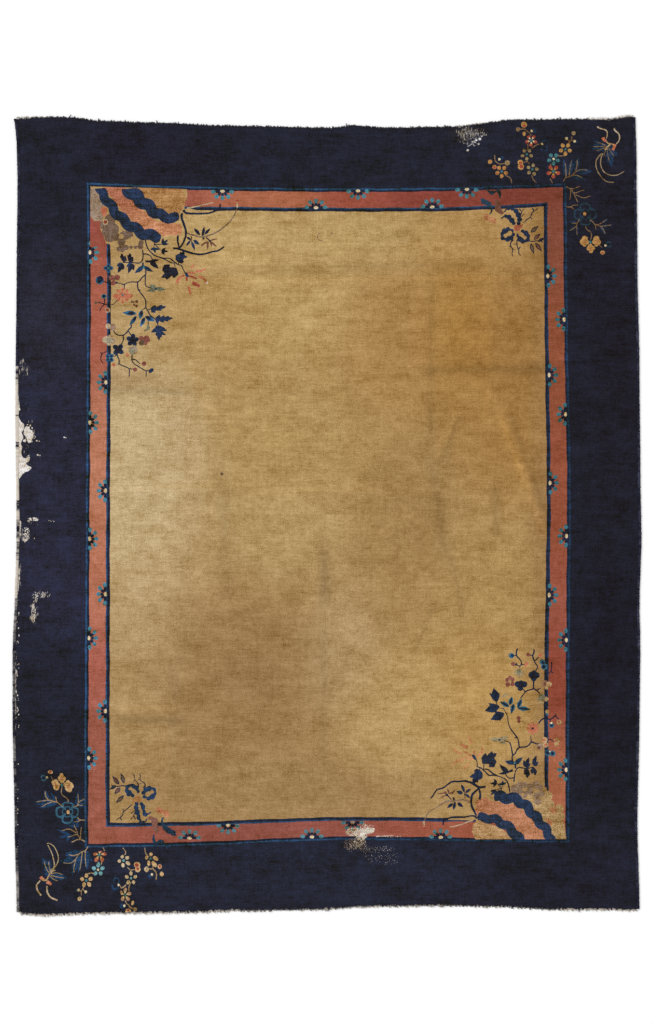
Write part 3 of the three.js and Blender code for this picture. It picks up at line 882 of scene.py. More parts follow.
SIDE_SPRAYS: tuple[Motif, ...] = (
    *leaves(Yarn.DEEP_BLUE, ((566, 177), (563.8, 159.6), 5), ((569.4, 174.6), (572.6, 158.4), 5),
        ((574.8, 171), (578.6, 156.6), 5.2), ((575, 171.6), (592, 171.6), 5.6),
        ((571, 175.6), (585.6, 179.6), 5.2)),
    *stems(Yarn.STEM_GOLD, 0.95, ((563.2, 181.8), (564.6, 179), (566.2, 177.6), (569.6, 176.8),
        (572.6, 174.8), (575.6, 172), (579.2, 170.2), (583.4, 169.8), (587.4, 170.6)),
        ((571.8, 175.2), (577, 175.8), (582, 178)), ((565.8, 177.6), (565.7, 170), (565, 163)),
        ((568.8, 176.6), (569.6, 170), (571.2, 161)), ((575.4, 171.4), (577, 165), (576.9, 160)),
        ((566.2, 186.6), (568.8, 188.4), (574, 188.6), (580, 186.2)),
        ((570.4, 188.8), (570.5, 194), (569.6, 200)), ((571.2, 189.4), (573.2, 192.8), (576.4, 192.8),
        (580, 191.4), (584, 190.4)), ((573.4, 192.6), (575, 197), (577.6, 202.2)),
        ((575.4, 194.8), (580, 197), (584, 198), (590.2, 196.2)),
        ((566, 207), (570, 207.2), (573.4, 205.6), (577.4, 205.2)), ((571, 207.2), (574, 209.6))),
    Ruffle(585, 214.4, 11.6, 1.8, Yarn.DEEP_TEAL),
    Ruffle(585, 214.4, 5.6, 1, Yarn.DEEP_TEAL),
    Dot(584.5, 213.9, 2.1, Yarn.GOLD, 0.78, 90),
    *leaves(Yarn.DEEP_BLUE, ((576.8, 226), (577.2, 236.6), 2.8), ((575.8, 226.6), (567.8, 231.8), 2.8),
        ((577, 223.4), (569, 221.6), 2.8), ((600.2, 226.2), (606, 235.4), 2.8),
        ((601, 226.4), (612.4, 225), 2.6), ((600.2, 223.8), (608.4, 218.8), 2.6)),
    *stems(Yarn.STEM_GOLD, 0.9, ((579.4, 219.6), (577.4, 222.6), (576.4, 226), (576.8, 235)),
        ((577.2, 223.6), (571.4, 223.4)), ((576, 226.4), (573, 229), (569.4, 230.8)), ((589.6, 219.8),
        (592.6, 222), (595, 224.6), (599.8, 224), (606, 220)),
        ((596, 224.6), (600, 226.4), (604.4, 226), (610.8, 225.2)),
        ((600, 226.2), (603, 229.6), (605, 233.8)), ((595, 224.8), (595.8, 230)), ((585.4, 226.2),
        (586.6, 229.6), (590.4, 232.2), (591.3, 235.4), (590.4, 240)),
        ((598.2, 244), (600.4, 246.4), (601.8, 247.8))),
    *dots(Yarn.GOLD, (584.6, 239, 3), (582.6, 242.2, 3), (586.2, 242.4, 2.7), (584.4, 244.9, 2.1),
        (596.2, 239, 3), (594.6, 242, 2.6), (598, 242.4, 2.8), (596.2, 244.8, 2.1), (590.2, 245.8, 2.1),
        (588.9, 248.4, 2.5), (592.3, 248.4, 2.5), (590.8, 251.3, 2.1)),
    *dots(Yarn.OCHRE, (584.4, 240.6, 1.6), (583.4, 242.8, 1.1), (596.2, 240.6, 1.6), (597.2, 242.8, 1.1),
        (590.6, 248.2, 1.5), (590.8, 250.4, 0.9)),
    Dot(590.2, 242, 1.5, Yarn.TEAL),
    Curl(608.6, 244.8, 2.6, 1.4, Yarn.DEEP_TEAL),
    Dot(605.2, 245.7, 1.2, Yarn.CREAM),
    Dot(602.4, 252.7, 2.4, Yarn.GOLD, 0.84),
    Dot(602.4, 253, 1.4, Yarn.RUST, 0.8),
)

BUTTERFLY: tuple[Motif, ...] = (
    *leaves(Yarn.DEEP_BLUE, ((608.4, 149.4), (588.4, 146.4), 9.6, 3), ((606.6, 147.2), (594, 140.6), 4.8),
        ((606.8, 144.6), (611.6, 167.4), 10.4, 4), ((608.4, 146.4), (617.4, 157), 6.2, 2)),
    *stems(Yarn.STEM_GOLD, 0.8, ((606, 147.4), (601, 149.4), (596, 151)),
        ((605.6, 146.6), (600, 146.8), (593, 147)), ((605.4, 145.6), (601, 143.8), (597, 142.6)),
        ((606.8, 148), (604.8, 151.6), (603.8, 156.6)), ((607.6, 148.8), (607.4, 154), (609.2, 161)),
        ((608.6, 148), (611, 152.4), (614, 156.4))),
    *stems(Yarn.CORAL, 3.4, ((602.6, 137.6), (603.8, 140), (606, 141.6)),
        ((614.6, 144.4), (613.8, 147.6), (612.4, 150.4))),
    Stem(1.3, ((606.4, 142), (608.2, 143.8), (611, 144), (614, 145)), Yarn.KHAKI),
    Stem(1.9, ((610.4, 143.6), (607.8, 146.6), (604.6, 150.2)), Yarn.KHAKI),
    Stem(1.4, ((597, 127.2), (600.6, 128.9), (604.6, 129.8), (606.8, 132.2), (607, 136), (606, 138.6)),
        Yarn.STONE, 0.6),
    Stem(1.4, ((613.9, 128.4), (614.9, 130.9), (618, 133.4), (619.4, 137), (618.7, 141), (616, 144.4)),
        Yarn.STONE, 0.6),
    *stems(Yarn.STEM_CREAM, 1, ((601.6, 153.6), (598.2, 157.2), (596, 161.2), (595.8, 166), (597.5, 171.6),
        (600.9, 177), (604.6, 180.6), (608.6, 182.3), (613.8, 182.5)), ((602.8, 153.4), (601, 158),
        (600.3, 163), (601.4, 168), (604.1, 172.4), (609, 175.1), (614.6, 175.6), (620, 174),
        (624.2, 171.2))),
)

LOWER_BUTTERFLY: tuple[Motif, ...] = (
    *leaves(Yarn.DEEP_BLUE, ((51.4, 876), (42.6, 857.6), 9.8, 3), ((50.4, 874), (49.6, 859.6), 5.6, 2),
        ((47.8, 873.6), (67.6, 878), 10, 4)),
    *stems(Yarn.STEM_GOLD, 0.9, ((49.6, 873), (46.4, 868), (44.4, 861.6)),
        ((50.6, 872), (49.6, 867), (48.6, 861.6)), ((51, 873.6), (57, 872.6), (62.4, 874.4)),
        ((51, 875), (57, 876.8), (63.6, 877.6)), ((50.4, 876), (54.4, 879.4), (58, 880.6))),
    *stems(Yarn.CORAL, 3.6, ((40.6, 876.6), (42.4, 878.6), (44.4, 879.4)),
        ((46.8, 881.4), (49.4, 882.6), (51.4, 884.6))),
    Stem(1.6, ((42, 879), (45, 880.2), (47.4, 878.6), (49.4, 874.6), (52.8, 871), (55.4, 870)), Yarn.KHAKI),
    Stem(1.5, ((40.6, 880.4), (37.2, 884.2), (37.4, 889.4), (41.4, 895.2)), Yarn.STONE, 1.1),
    Stem(1.5, ((47.2, 885.6), (47.4, 891.4), (50.6, 896.8), (57.6, 900)), Yarn.STONE, 1.1),
    *stems(Yarn.STEM_CREAM, 1.1, ((50.8, 870), (55.4, 866.2), (58.3, 860.8), (58, 854.2), (54.5, 846.8),
        (49.2, 843), (47, 843.8)), ((51.6, 871.6), (54.4, 866.4), (53.6, 858.4), (51.2, 851), (48, 844.8))),
)

LOWER_LEAVES: tuple[Motif, ...] = (
    Fan((57.4, 803), ((50.4, 791.6), (43.4, 794.4), (37.6, 799.4), (35, 804), (45.4, 806.6), (40.8, 808.6)),
        2.6, Yarn.DEEP_BLUE),
    Fan((75.6, 803.4), ((78.6, 791.4), (83.6, 796.8), (84.6, 803.4)), 2.8, Yarn.DEEP_BLUE),
    Fan((70, 834.6), ((57.4, 829.4), (58.6, 837.4), (66.4, 841.6), (75.4, 839)), 2.6, Yarn.DEEP_BLUE),
    Fan((78, 826.6), ((70.4, 818.6), (77.4, 817.4), (66.6, 824.6)), 2.8, Yarn.DEEP_BLUE),
    Fan((80.4, 850.6), ((60.4, 862.6), (64.6, 856), (72.6, 869.4), (79, 872)), 3.2, Yarn.DEEP_BLUE),
    Fan((86.8, 850.4), ((88.8, 866), (92.6, 861.6)), 3, Yarn.DEEP_BLUE),
)

SCROLLS: tuple[Motif, ...] = (
    *dots(Yarn.FADED_RUST, (486.4, 217.6, 3.6, 0.8, 70), (492.6, 220.4, 4.2, 0.7, 30)),
    Patch(Yarn.BROWN, ((494.6, 200), (498.6, 200.6), (500.2, 205), (500.8, 208.8), (503.8, 213),
        (501.4, 214.8), (497.6, 212.8), (494.8, 210.6), (495.2, 205))),
    Stem(2, ((486.9, 187), (487.5, 190.2), (489.8, 192.2), (492.4, 193), (495.4, 191.8), (497.6, 190.6),
        (499.4, 191.8), (500.3, 194.6), (499.6, 198.4)), Yarn.DEEP_TEAL, 0.8),
    *dots(Yarn.DEEP_TEAL, (491.8, 192.9, 2.9, 0.72), (498.9, 192.2, 1.9), (499.8, 194.6, 1.6),
        (483.2, 201.8, 2.6), (486.2, 202.8, 2.8), (488.8, 204.4, 2.6), (490.2, 206.6, 2)),
    Leaf((485.6, 202.4), (480.2, 198.8), 4, Yarn.DEEP_TEAL),
    Stem(2.6, ((490.2, 206), (491.6, 208.8), (491.4, 211.8), (489.4, 214.4)), Yarn.DEEP_TEAL, 0.4),
    Lobe(507.6, 234.6, 7.4, 2.9, Yarn.INK_BLUE, Yarn.FIELD, 8, 2, 316),
    Lobe(523, 236.6, 7.1, 2.9, Yarn.INK_BLUE, Yarn.FIELD, 7, 264, 286),
    *dots(Yarn.FIELD, (509.8, 233.2, 2.3), (505.2, 236, 2), (520.6, 234.4, 2.2), (525, 238, 1.8)),
    *dots(Yarn.INK_BLUE, (502.6, 238.4, 2.2), (527.6, 240, 2.2), (505.8, 216.4, 2), (509, 217.4, 2.6),
        (511.6, 220.6, 2.8), (513.6, 223.4, 2), (508.6, 209, 1.6), (512.4, 208.8, 2.3), (516, 211.2, 2.6),
        (518.2, 215.2, 2.9), (519.4, 219.6, 2.6), (518.4, 223.6, 2.1)),
    Stem(1.4, ((504.2, 212.4), (506, 209.8), (508.6, 208.8)), Yarn.INK_BLUE, 1),
    Stem(1.4, ((501.2, 218.9), (503.3, 216.9), (505.6, 216.2)), Yarn.INK_BLUE, 1),
    *stems(Yarn.NAVY, 1.2, ((513.2, 240), (511, 242), (510.4, 245), (511, 247), (512.4, 248.8),
        (512.4, 252), (511.8, 254), (512.9, 256)), ((516.9, 240), (516.8, 244), (517.6, 248), (518.8, 251),
        (518.6, 253.6), (520.8, 255.8)), ((519.4, 208.8), (520.4, 210.6), (521.6, 212), (520.8, 214.8),
        (520.5, 216.4)), ((532, 208.4), (533.6, 211), (531.6, 213.6), (531, 216), (530.2, 217.2),
        (527, 219.6), (523.4, 223)), ((529, 241.2), (533, 241.7), (536.6, 241), (540, 241.4),
        (543, 242.6))),
    *stems(Yarn.NAVY, 0.9, ((509, 246.3), (511, 247)), ((512.6, 249.4), (515.2, 249.4)),
        ((513.6, 244.4), (516.8, 244.4)), ((518.4, 249), (520.8, 247)), ((523.8, 208.8), (521.6, 212)),
        ((524.4, 214.2), (520.8, 217)), ((537.6, 208.4), (535, 210.8), (533.2, 211.4)),
        ((530, 217), (532, 219.6))),
    Patch(Yarn.RUST, ((513.4, 227.6), (516, 225), (519, 225.3), (522.8, 224.2), (521.8, 227.4),
        (519.6, 229), (519.6, 230.9), (515, 231.1))),
    Leaf((530.8, 232.6), (538.4, 225.8), 4, Yarn.NIGHT, heart=Yarn.UMBER),
    Leaf((534.2, 239.8), (540, 233.8), 4, Yarn.NIGHT, heart=Yarn.BROWN),
    Leaf((530.6, 243.8), (533.8, 254.2), 4, Yarn.NIGHT, heart=Yarn.UMBER),
    Leaf((535.4, 243.2), (541.6, 251.8), 4.2, Yarn.NIGHT, heart=Yarn.BROWN),
    Leaf((537.8, 241.8), (544.6, 237.8), 3.2, Yarn.NIGHT),
)

OPPOSITE_ROCKS: tuple[Motif, ...] = (
    Patch(Yarn.FIELD, ((473, 786), (546.4, 787), (547, 800), (540, 818), (520, 812), (476, 822.4),
        (472.6, 802)), rounded=False),
    *dots(Yarn.KHAKI, (540.4, 793.6, 5.6), (547.4, 795.4, 5), (540, 802, 7), (549, 804.8, 5.4),
        (559.2, 808.4, 4.4), (553.6, 814, 6.6), (560.4, 816.4, 4.2), (546.6, 812, 7), (558.6, 826, 6),
        (553, 823, 6.6), (531.4, 796, 4.6), (534, 803.4, 4.6)),
    Patch(Yarn.KHAKI, ((540, 808), (556, 812), (563.6, 822), (566.2, 838.8), (548, 839), (540, 824)),
        rounded=False),
    *dots(Yarn.CLOUD, (514.6, 788.4, 4.2), (519.8, 786, 4.2), (517.4, 791.4, 3.4), (524.6, 784.6, 3),
        (529.8, 786.4, 3.4), (535.8, 784.8, 3.8), (539.8, 787.2, 3), (523, 793.4, 4.8), (530, 791.6, 3.4),
        (536.8, 795.4, 3.2), (541.6, 793.4, 3), (537.6, 801.4, 3.4)),
    *dots(Yarn.FIELD, (524.4, 789.2, 1.9), (534.4, 789.8, 1.9), (522.6, 794.4, 1.6)),
    *dots(Yarn.FADED_RUST, (553.2, 810.4, 3.2), (551, 808.6, 1.8), (549.4, 822.6, 3.2), (547.6, 819.8, 2)),
    Patch(Yarn.OCHRE, ((473.6, 822.8), (480, 821.6), (490, 824), (500, 827), (506, 832), (514, 839),
        (475, 839), (471.8, 831)), rounded=False),
    Patch(Yarn.SALMON, ((479.4, 798.6), (486, 797.6), (492, 801), (503, 802), (514, 804), (524, 811),
        (532, 820), (540, 829), (548, 839), (522.6, 839), (513, 829), (504, 821), (494, 815.6),
        (484, 813.6), (477, 815), (474.4, 810), (476.8, 806), (474.8, 802)), rounded=False),
    WavedBand(Yarn.INDIGO, (8.8, 11.8), 14.5, 3.2, ((550.8, 839), (550.2, 837), (545.8, 829.8),
        (539.4, 821.2), (534, 815), (528.4, 808.6), (521.4, 802.4), (512.6, 798.4), (503, 797),
        (493.6, 796.2)), 0.4),
    WavedBand(Yarn.INDIGO, (10.6, 8.6), 15, 2.8, ((518.2, 839), (517.6, 837), (511.8, 830.4),
        (504.4, 824.4), (496.4, 820), (487.4, 817.8), (477, 817.2)), 0.2),
)

UPPER_BUD: tuple[Motif, ...] = (
    Dot(99.8, 280.4, 4.2, Yarn.STEEL),
    Dot(99.2, 282.6, 2.6, Yarn.SKY, 0.5),
    *dots(Yarn.NAVY, (100.4, 279.2, 3.1), (99.2, 282.4, 2.2, 0.45)),
)

LOWER_TWIGS: tuple[Motif, ...] = (
    *stems(Yarn.NAVY, 1.6, ((517.3, 648.4), (516.3, 652), (516.4, 655.2), (518.6, 658.2), (521.3, 661.6),
        (521, 664.2), (519.3, 667.2)), ((533.4, 649.2), (534, 651.8), (532.6, 655.4), (533.6, 659.6),
        (535, 663), (537.4, 666.2), (536.8, 668.6), (535.2, 671.4)), ((533.4, 680.6), (533, 688.2),
        (528.6, 690), (525, 691.8), (522.8, 695), (520.2, 698.4)),
        ((533, 688.2), (536.4, 690.2), (539.6, 693.4)), ((538.6, 723.2), (540.4, 720.6), (543.4, 718.4),
        (546.6, 718.2), (549.4, 719.4), (551.4, 718.6), (553.6, 717), (555.2, 715.8), (557.2, 717.6),
        (559, 719.2))),
    *stems(Yarn.NAVY, 1.3, ((512, 656.4), (516.3, 655.2)), ((520.8, 664.4), (524.6, 664.6)),
        ((516, 664.6), (519.4, 666)), ((528.6, 654.6), (532.2, 655.8)), ((535, 660.8), (538.6, 656.8)),
        ((551.4, 661.8), (551.4, 668), (550.6, 671.6), (548.6, 672.8)), ((550.6, 671.6), (553.6, 672.6)),
        ((525, 691.8), (522.8, 688.6)), ((537, 689.8), (540.6, 688)), ((549.6, 719.4), (550.6, 722)),
        ((555.2, 715.8), (555.6, 713.4)), ((546.2, 739.9), (550.6, 739.5), (553.2, 741.3))),
    *dots(Yarn.STEEL, (511.4, 655.6, 2.8), (542.2, 662, 2.9), (544.2, 666.6, 3.3), (551.6, 725.2, 2.6),
        (548, 752.6, 3.2), (552.6, 753.4, 2.9)),
    *dots(Yarn.NAVY, (512.2, 655.6, 1.6), (542.6, 662.4, 1.6), (543.6, 666.6, 2), (551.3, 725.2, 1.7),
        (547.4, 752.4, 2), (552.4, 753.2, 1.7), (516, 664.4, 1.4)),
    *dots(Yarn.CREAM, (551.2, 722.8, 1.1), (549.6, 751.4, 0.8)),
    *dots(Yarn.CORAL, (526.6, 663.6, 1.8), (525.4, 665.2, 1.4), (540.3, 655, 1.9)),
    *dots(Yarn.DUN, (516.6, 672.6, 3), (521.4, 673, 3), (519.4, 675.2, 2.8), (519, 670.2, 2.6),
        (546, 699, 2.4), (541.6, 702.4, 2.4), (538.6, 699.8, 2.2)),
    *dots(Yarn.SAGE, (518.8, 671.8, 2.4), (541.6, 697, 3.4)),
    *dots(Yarn.INK_BLUE, (531.4, 674.8, 3.2), (536.4, 675.2, 3.2), (533.6, 678.2, 3), (533.8, 673.2, 3),
        (517.8, 684.2, 3.2), (524, 684.2, 3.2), (520.2, 688, 2.8), (521, 682.8, 2.6)),
    *dots(Yarn.NIGHT, (533.6, 675.6, 3), (521, 684.8, 3.2)),
    *dots(Yarn.WINE, (513, 664, 2.2), (527.9, 654.4, 2), (507.4, 679.8, 2.4), (512.2, 679.4, 2.4),
        (507.6, 684.2, 2.4), (512.4, 684, 2.2), (509.8, 677.8, 2.2), (518.6, 718, 2.2),
        (518.8, 721.2, 1.8)),
    *dots(Yarn.KHAKI, (510, 681, 1.8), (547, 711.4, 2), (559, 722.4, 2.6), (556.8, 740.4, 2.8),
        (556.2, 743.8, 2.2)),
    *dots(Yarn.BAND, (558.6, 721.6, 1.3), (555.8, 740.6, 1.5)),
    *dots(Yarn.MAUVE, (544.8, 683.6, 3.4), (539.6, 746.4, 3)),
    *dots(Yarn.STONE, (549, 684.2, 2.8), (546.4, 687.4, 2), (544.6, 739.6, 2.8), (545.4, 744.6, 2.8)),
    *dots(Yarn.BROWN, (544.6, 683.6, 1.6), (538.8, 747.6, 1.8)),
    *dots(Yarn.CORAL, (543.6, 740, 1.5), (545.6, 744.6, 1.4)),
    Dot(547, 714, 1.2, Yarn.TEAL),
    Leaf((508.4, 692.8), (500.8, 698), 3.4, Yarn.DUN),
    Blossom(532.6, 728.2, 6.6, Yarn.CORAL, Yarn.NAVY, 8, 90, plump=0.24),
    Dot(532.6, 728.2, 3.9, Yarn.CORAL),
    Dot(532.6, 728.2, 1.2, Yarn.INK_BLUE),
    Stem(1, ((521.8, 721.2), (525.2, 723.2)), Yarn.BROWN),
    *(Leaf(base, tip, width, yarn) for base, tip in (((509, 706.4), (499.8, 701.4)),
        ((509.6, 704.8), (512, 696.4)), ((513.6, 703.8), (511, 713.6)), ((517.4, 707.6), (521.8, 698.4)),
        ((517.6, 708), (530.8, 709.2))) for width, yarn in ((4.8, Yarn.STEEL), (2.2, Yarn.NAVY))),
    *(Leaf(base, tip, 8.4, Yarn.INK_BLUE) for base, tip in (((496.6, 701.6), (493.6, 688)),
        ((499.2, 706.2), (484.8, 710.6)), ((504, 713.4), (490.6, 719.4)))),
    Fan((496, 698.6), ((489.2, 693), (499.4, 692.8)), 3.8, Yarn.INK_BLUE),
    Fan((495.4, 706.6), ((488.2, 703.2), (493.6, 712.2)), 3.8, Yarn.INK_BLUE),
    Fan((500.2, 714.6), ((494.2, 711.2), (499.8, 721)), 3.8, Yarn.INK_BLUE),
)

BARE_PLACES: tuple[Motif, ...] = (
    Patch(Yarn.COTTON, ((16.9, 384), (18.2, 392), (18.9, 399), (19.8, 407), (20.4, 410), (18, 412),
        (18.6, 416), (20.8, 421.5), (24, 424.4), (23.6, 430), (21.8, 432.4), (23.2, 436.6), (22, 440.6),
        (20.8, 444), (22.2, 447), (21.4, 452), (22.2, 456.4), (25.2, 458.4), (29.6, 456.6), (29.2, 461),
        (26.2, 463.4), (28.4, 466), (31.6, 467.4), (29.4, 470.6), (24.4, 472.6), (21, 476.6), (19, 479.6),
        (19.4, 486), (18.6, 498), (16.9, 500))),
    Patch(Yarn.COTTON, ((25, 427.2), (28.6, 426.6), (30.4, 429.6), (32.8, 431.4), (33.4, 436.4),
        (31.6, 440.4), (29, 443.4), (27.2, 440.2), (26.2, 436.4), (24, 434.4))),
    *dots(Yarn.COTTON, (24.8, 440.6, 1.6), (30.4, 425.6, 0.9), (32.2, 428, 0.8), (27.4, 424.8, 0.7),
        (37, 440.8, 0.9), (39.4, 441.2, 0.6), (38, 455, 0.9), (40, 455.4, 0.7), (64.4, 437.4, 0.8),
        (66.2, 437.8, 0.5), (35.4, 437, 0.6), (28.6, 455.8, 0.7), (31, 519.6, 0.9), (34, 518.4, 1.1),
        (36.8, 519.8, 0.8), (28.4, 521, 0.7), (25.4, 531, 0.7), (24.4, 534.6, 0.9), (27.4, 536, 0.7),
        (26.2, 540, 1.3), (27.8, 529.6, 0.6), (34.6, 538.4, 0.6), (18, 371, 0.7), (17.8, 378, 0.8),
        (17.6, 386.4, 0.9)),
    Patch(Yarn.COTTON, ((362.6, 828), (366, 829), (370.6, 827.6), (372.6, 830), (371, 833), (365.4, 833.8),
        (362.6, 837), (359.4, 836.6), (361, 832.6))),
    *dots(Yarn.COTTON, (371.2, 830.4, 2.6), (373.4, 829.2, 1.6), (367.4, 829.6, 2.4), (364.4, 831.4, 2.6),
        (365.6, 825.2, 1.1), (358.4, 839, 1.1), (363.4, 838.4, 1.4)),
    Stem(0.8, ((376, 836.2), (384, 835.8), (391.6, 835.4)), Yarn.COTTON),
    *records(Specks, (367, 828.6, 8.4, 5.4, 90, Yarn.COTTON, 0.46),
        (354, 831.8, 8.6, 4.4, 250, Yarn.COTTON, 0.46), (361.4, 837.2, 5.4, 3.8, 70, Yarn.COTTON, 0.55),
        (355, 844, 12, 6, 260, Yarn.ASH, 0.32), (358, 843.4, 9, 5.4, 80, Yarn.COTTON, 0.36),
        (370, 849, 26, 3.4, 100, Yarn.COTTON, 0.2), (384, 856, 20, 9, 80, Yarn.COTTON, 0.2),
        (388, 836, 14, 0.8, 30, Yarn.COTTON, 0.4), (467.6, 133, 12.4, 4.4, 150, Yarn.COTTON, 1, 0.15),
        (479, 132.6, 9, 4.4, 26, Yarn.COTTON, 0.8, 0.2), (468, 140.4, 11, 4, 60, Yarn.COTTON, 0.6, 0.22),
        (472.6, 144, 7, 2.6, 20, Yarn.COTTON, 0.5, 0.5)),
    *dots(Yarn.COTTON, (479.7, 139.1, 1.4), (476.3, 140.4, 1), (474.8, 142.5, 0.9), (478.4, 144.4, 0.9),
        (481.6, 136.5, 0.7), (464.6, 139.4, 0.8), (467.6, 150.5, 1.2), (458.6, 132, 0.8),
        (460.2, 133.9, 0.6)),
    *stems(Yarn.COTTON, 0.7, ((481.6, 136.5), (484.4, 134.4)), ((471.6, 144.2), (467.4, 146.8)),
        ((471.4, 142), (475.8, 140.6))),
    *records(Specks, (31, 434, 4, 9, 40, Yarn.COTTON, 0.5), (33, 519.4, 6, 1.6, 30, Yarn.COTTON, 0.5),
        (26, 534, 4, 7, 50, Yarn.COTTON, 0.5), (35.6, 597, 3, 5, 30, Yarn.COTTON, 0.45),
        (33.8, 612, 2, 11, 70, Yarn.COTTON, 0.5), (43, 594.6, 8, 3, 30, Yarn.COTTON, 0.4),
        (18.4, 660, 1.2, 120, 34, Yarn.COTTON, 0.6), (17.6, 840, 1.2, 60, 20, Yarn.COTTON, 0.6),
        (52, 521, 4, 2, 6, Yarn.COTTON, 0.4)),
)

FIELD_MARKS: tuple[Motif, ...] = (
    *stems(Yarn.CLOUD, 0.8, ((320.4, 232.6), (317.6, 236.6), (319, 240.4), (322.6, 240.6)),
        ((333, 231.8), (330.6, 235.8))),
    Dot(222, 474, 1.6, Yarn.UMBER),
    Dot(207.3, 282.7, 1, Yarn.COTTON),
)


@dataclass(frozen=True)
class GuardLines:
    """Nested lines that part the dark border, the red band and the gold field."""

    outer: tuple[Point, ...] = (
        (87.3, 183), (200, 187), (330, 188.6), (450, 187.8), (566, 183.8), (568, 360), (570.4, 490),
        (569.2, 700), (569, 842.2), (450, 840.6), (330, 839.8), (200, 845), (84.8, 847.3), (84.8, 740),
        (85.5, 630), (86.3, 500), (87.4, 320),
    )
    inner: tuple[Point, ...] = (
        (110.5, 211), (200, 210.8), (330, 211.8), (450, 211.2), (543.4, 206.8), (544.8, 360), (546.6, 500),
        (543.9, 700), (545, 818.9), (450, 817.6), (330, 817), (200, 821.4), (110, 822.6), (109.8, 740),
        (110, 630), (110.2, 500), (111, 320),
    )
    corners: tuple[int, ...] = (0, 4, 8, 12)
    steps: tuple[tuple[float, Yarn], ...] = (
        (0.0, Yarn.BLUE), (0.066, Yarn.NAVY), (0.15, Yarn.BAND), (0.835, Yarn.BLUE), (0.89, Yarn.NAVY),
        (1.0, Yarn.FIELD),
    )
    waver: float = 0.35

    def line(self, share: float) -> list[Point]:
        """Lay one closed line between the outer and the inner one.

        Args:
            share: 0 for the outer line, 1 for the inner one.

        Returns:
            The line's points, slightly wavering as hand-knotted lines are.
        """
        knots = [
            (a[0] + (b[0] - a[0]) * share, a[1] + (b[1] - a[1]) * share)
            for a, b in zip(self.outer, self.inner)
        ]
        line: list[Point] = []
        for start, end in zip(self.corners, self.corners[1:] + (len(knots),)):
            side = smooth_route([knots[k % len(knots)] for k in range(start, end + 1)], step=2.2)
            line.extend(side[:-1])
        bands = (0.061, 0.143)
        return [
            (x + self.waver * math.sin(y * bands[0] + 9 * share) * math.sin(y * bands[1] + 4 * share),
             y + self.waver * math.sin(x * bands[0] + 7 * share) * math.sin(x * bands[1] + 2 * share))
            for x, y in line
        ]

    def areas(self) -> Areas:
        """Give the nested areas from the outside in."""
        for share, yarn in self.steps:
            yield self.line(share), yarn


@dataclass(frozen=True)
class Pin:
    """A place of a corner's design, and where the weaver put it in the opposite corner."""

    x: float
    y: float
    to_x: float
    to_y: float


@dataclass(frozen=True)
class Turned:
    """A half turn that carries a corner's design to the opposite corner, less exact than a print."""

    pins: tuple[Pin, ...]
    across: float = 650.8
    down: float = 1031.1
    reach: float = 5.0

    def __call__(self, x: float, y: float) -> Point:
        """Carry one place to the opposite corner.

        Args:
            x: The place from the left, on the chart.
            y: The place from the top.

        Returns:
            The place that answers it.
        """
        total, drift_x, drift_y = 0.0, 0.0, 0.0
        for pin in self.pins:
            weight = ((x - pin.x) ** 2 + (y - pin.y) ** 2 + self.reach ** 2) ** -2
            total += weight
            drift_x += weight * (pin.to_x - self.across + pin.x)
            drift_y += weight * (pin.to_y - self.down + pin.y)
        return self.across - x + drift_x / total, self.down - y + drift_y / total


ROCK_TURN = Turned(records(
    Pin,
    (179.6, 218.2, 478, 817), (185.6, 196, 473, 832), (145.5, 240.4, 509.8, 792),
    (173.2, 248.6, 485.8, 786.5), (180, 248.5, 478, 788.5), (188, 252.2, 468.5, 781.6),
    (200, 254.6, 455, 781.3), (214, 251.4, 439.6, 789), (224, 247, 430.4, 798.4), (186, 231.5, 471.3, 804),
    (184, 212, 476.4, 816), (205, 213.6, 455, 817), (220.3, 204.5, 443, 824.6), (191.2, 240.6, 464.6, 793),
    (210.5, 241.5, 446.3, 793.8), (202.6, 235, 455, 803), (237.3, 203, 424, 826), (181, 257, 477, 774.6),
    (169, 271.4, 490, 759.6), (187, 275, 474.2, 757), (196, 278, 464, 752), (153, 264, 505, 770),
    (143.7, 267.6, 514.6, 762.6), (129.5, 270, 528, 760.5), (118, 270, 536.4, 758),
    (129.8, 257, 527.5, 774.6), (121.5, 257, 535.6, 771.4), (155, 289, 500.2, 739.4),
    (122.8, 295.4, 532.3, 729), (138, 316, 512.7, 704), (158, 308.4, 496.7, 716), (159, 328, 496, 701.6),
))
SCROLL_TURN = Turned(records(
    Pin,
    (517.5, 227, 137.3, 800), (508.5, 234, 149.4, 793.4), (524, 236, 131.6, 790),
    (532.4, 249, 122.7, 777.6), (538.5, 247.5, 115.5, 780), (541, 240, 113, 787), (537, 236.7, 118, 790.6),
    (534.6, 229.4, 119.7, 799.4), (519, 218, 137, 809), (504.2, 212.4, 147, 819),
    (489.6, 214, 163.9, 817.6), (491.8, 207, 163, 825.4), (480.9, 200.6, 176, 833.9),
    (487.3, 186.8, 167.1, 848.6), (492, 193, 160.4, 841.4), (499.6, 198.8, 154.2, 834.5),
    (489, 219, 163, 811.4), (498, 207, 153.4, 820), (512.9, 256, 139.4, 773.4),
    (520.8, 255.8, 132.6, 773.6), (532, 210, 122, 818.6),
))
NEAR_TURN = Turned(records(
    Pin,
    (501.5, 171.8, 150.4, 857.8), (494.3, 167.3, 160.8, 866.4), (490, 162, 161.4, 874.4),
    (507.2, 163.2, 147.2, 869), (500.5, 158.8, 150.4, 875), (494.6, 155.4, 156, 879.6),
    (511.6, 183.6, 145, 847.4),
))
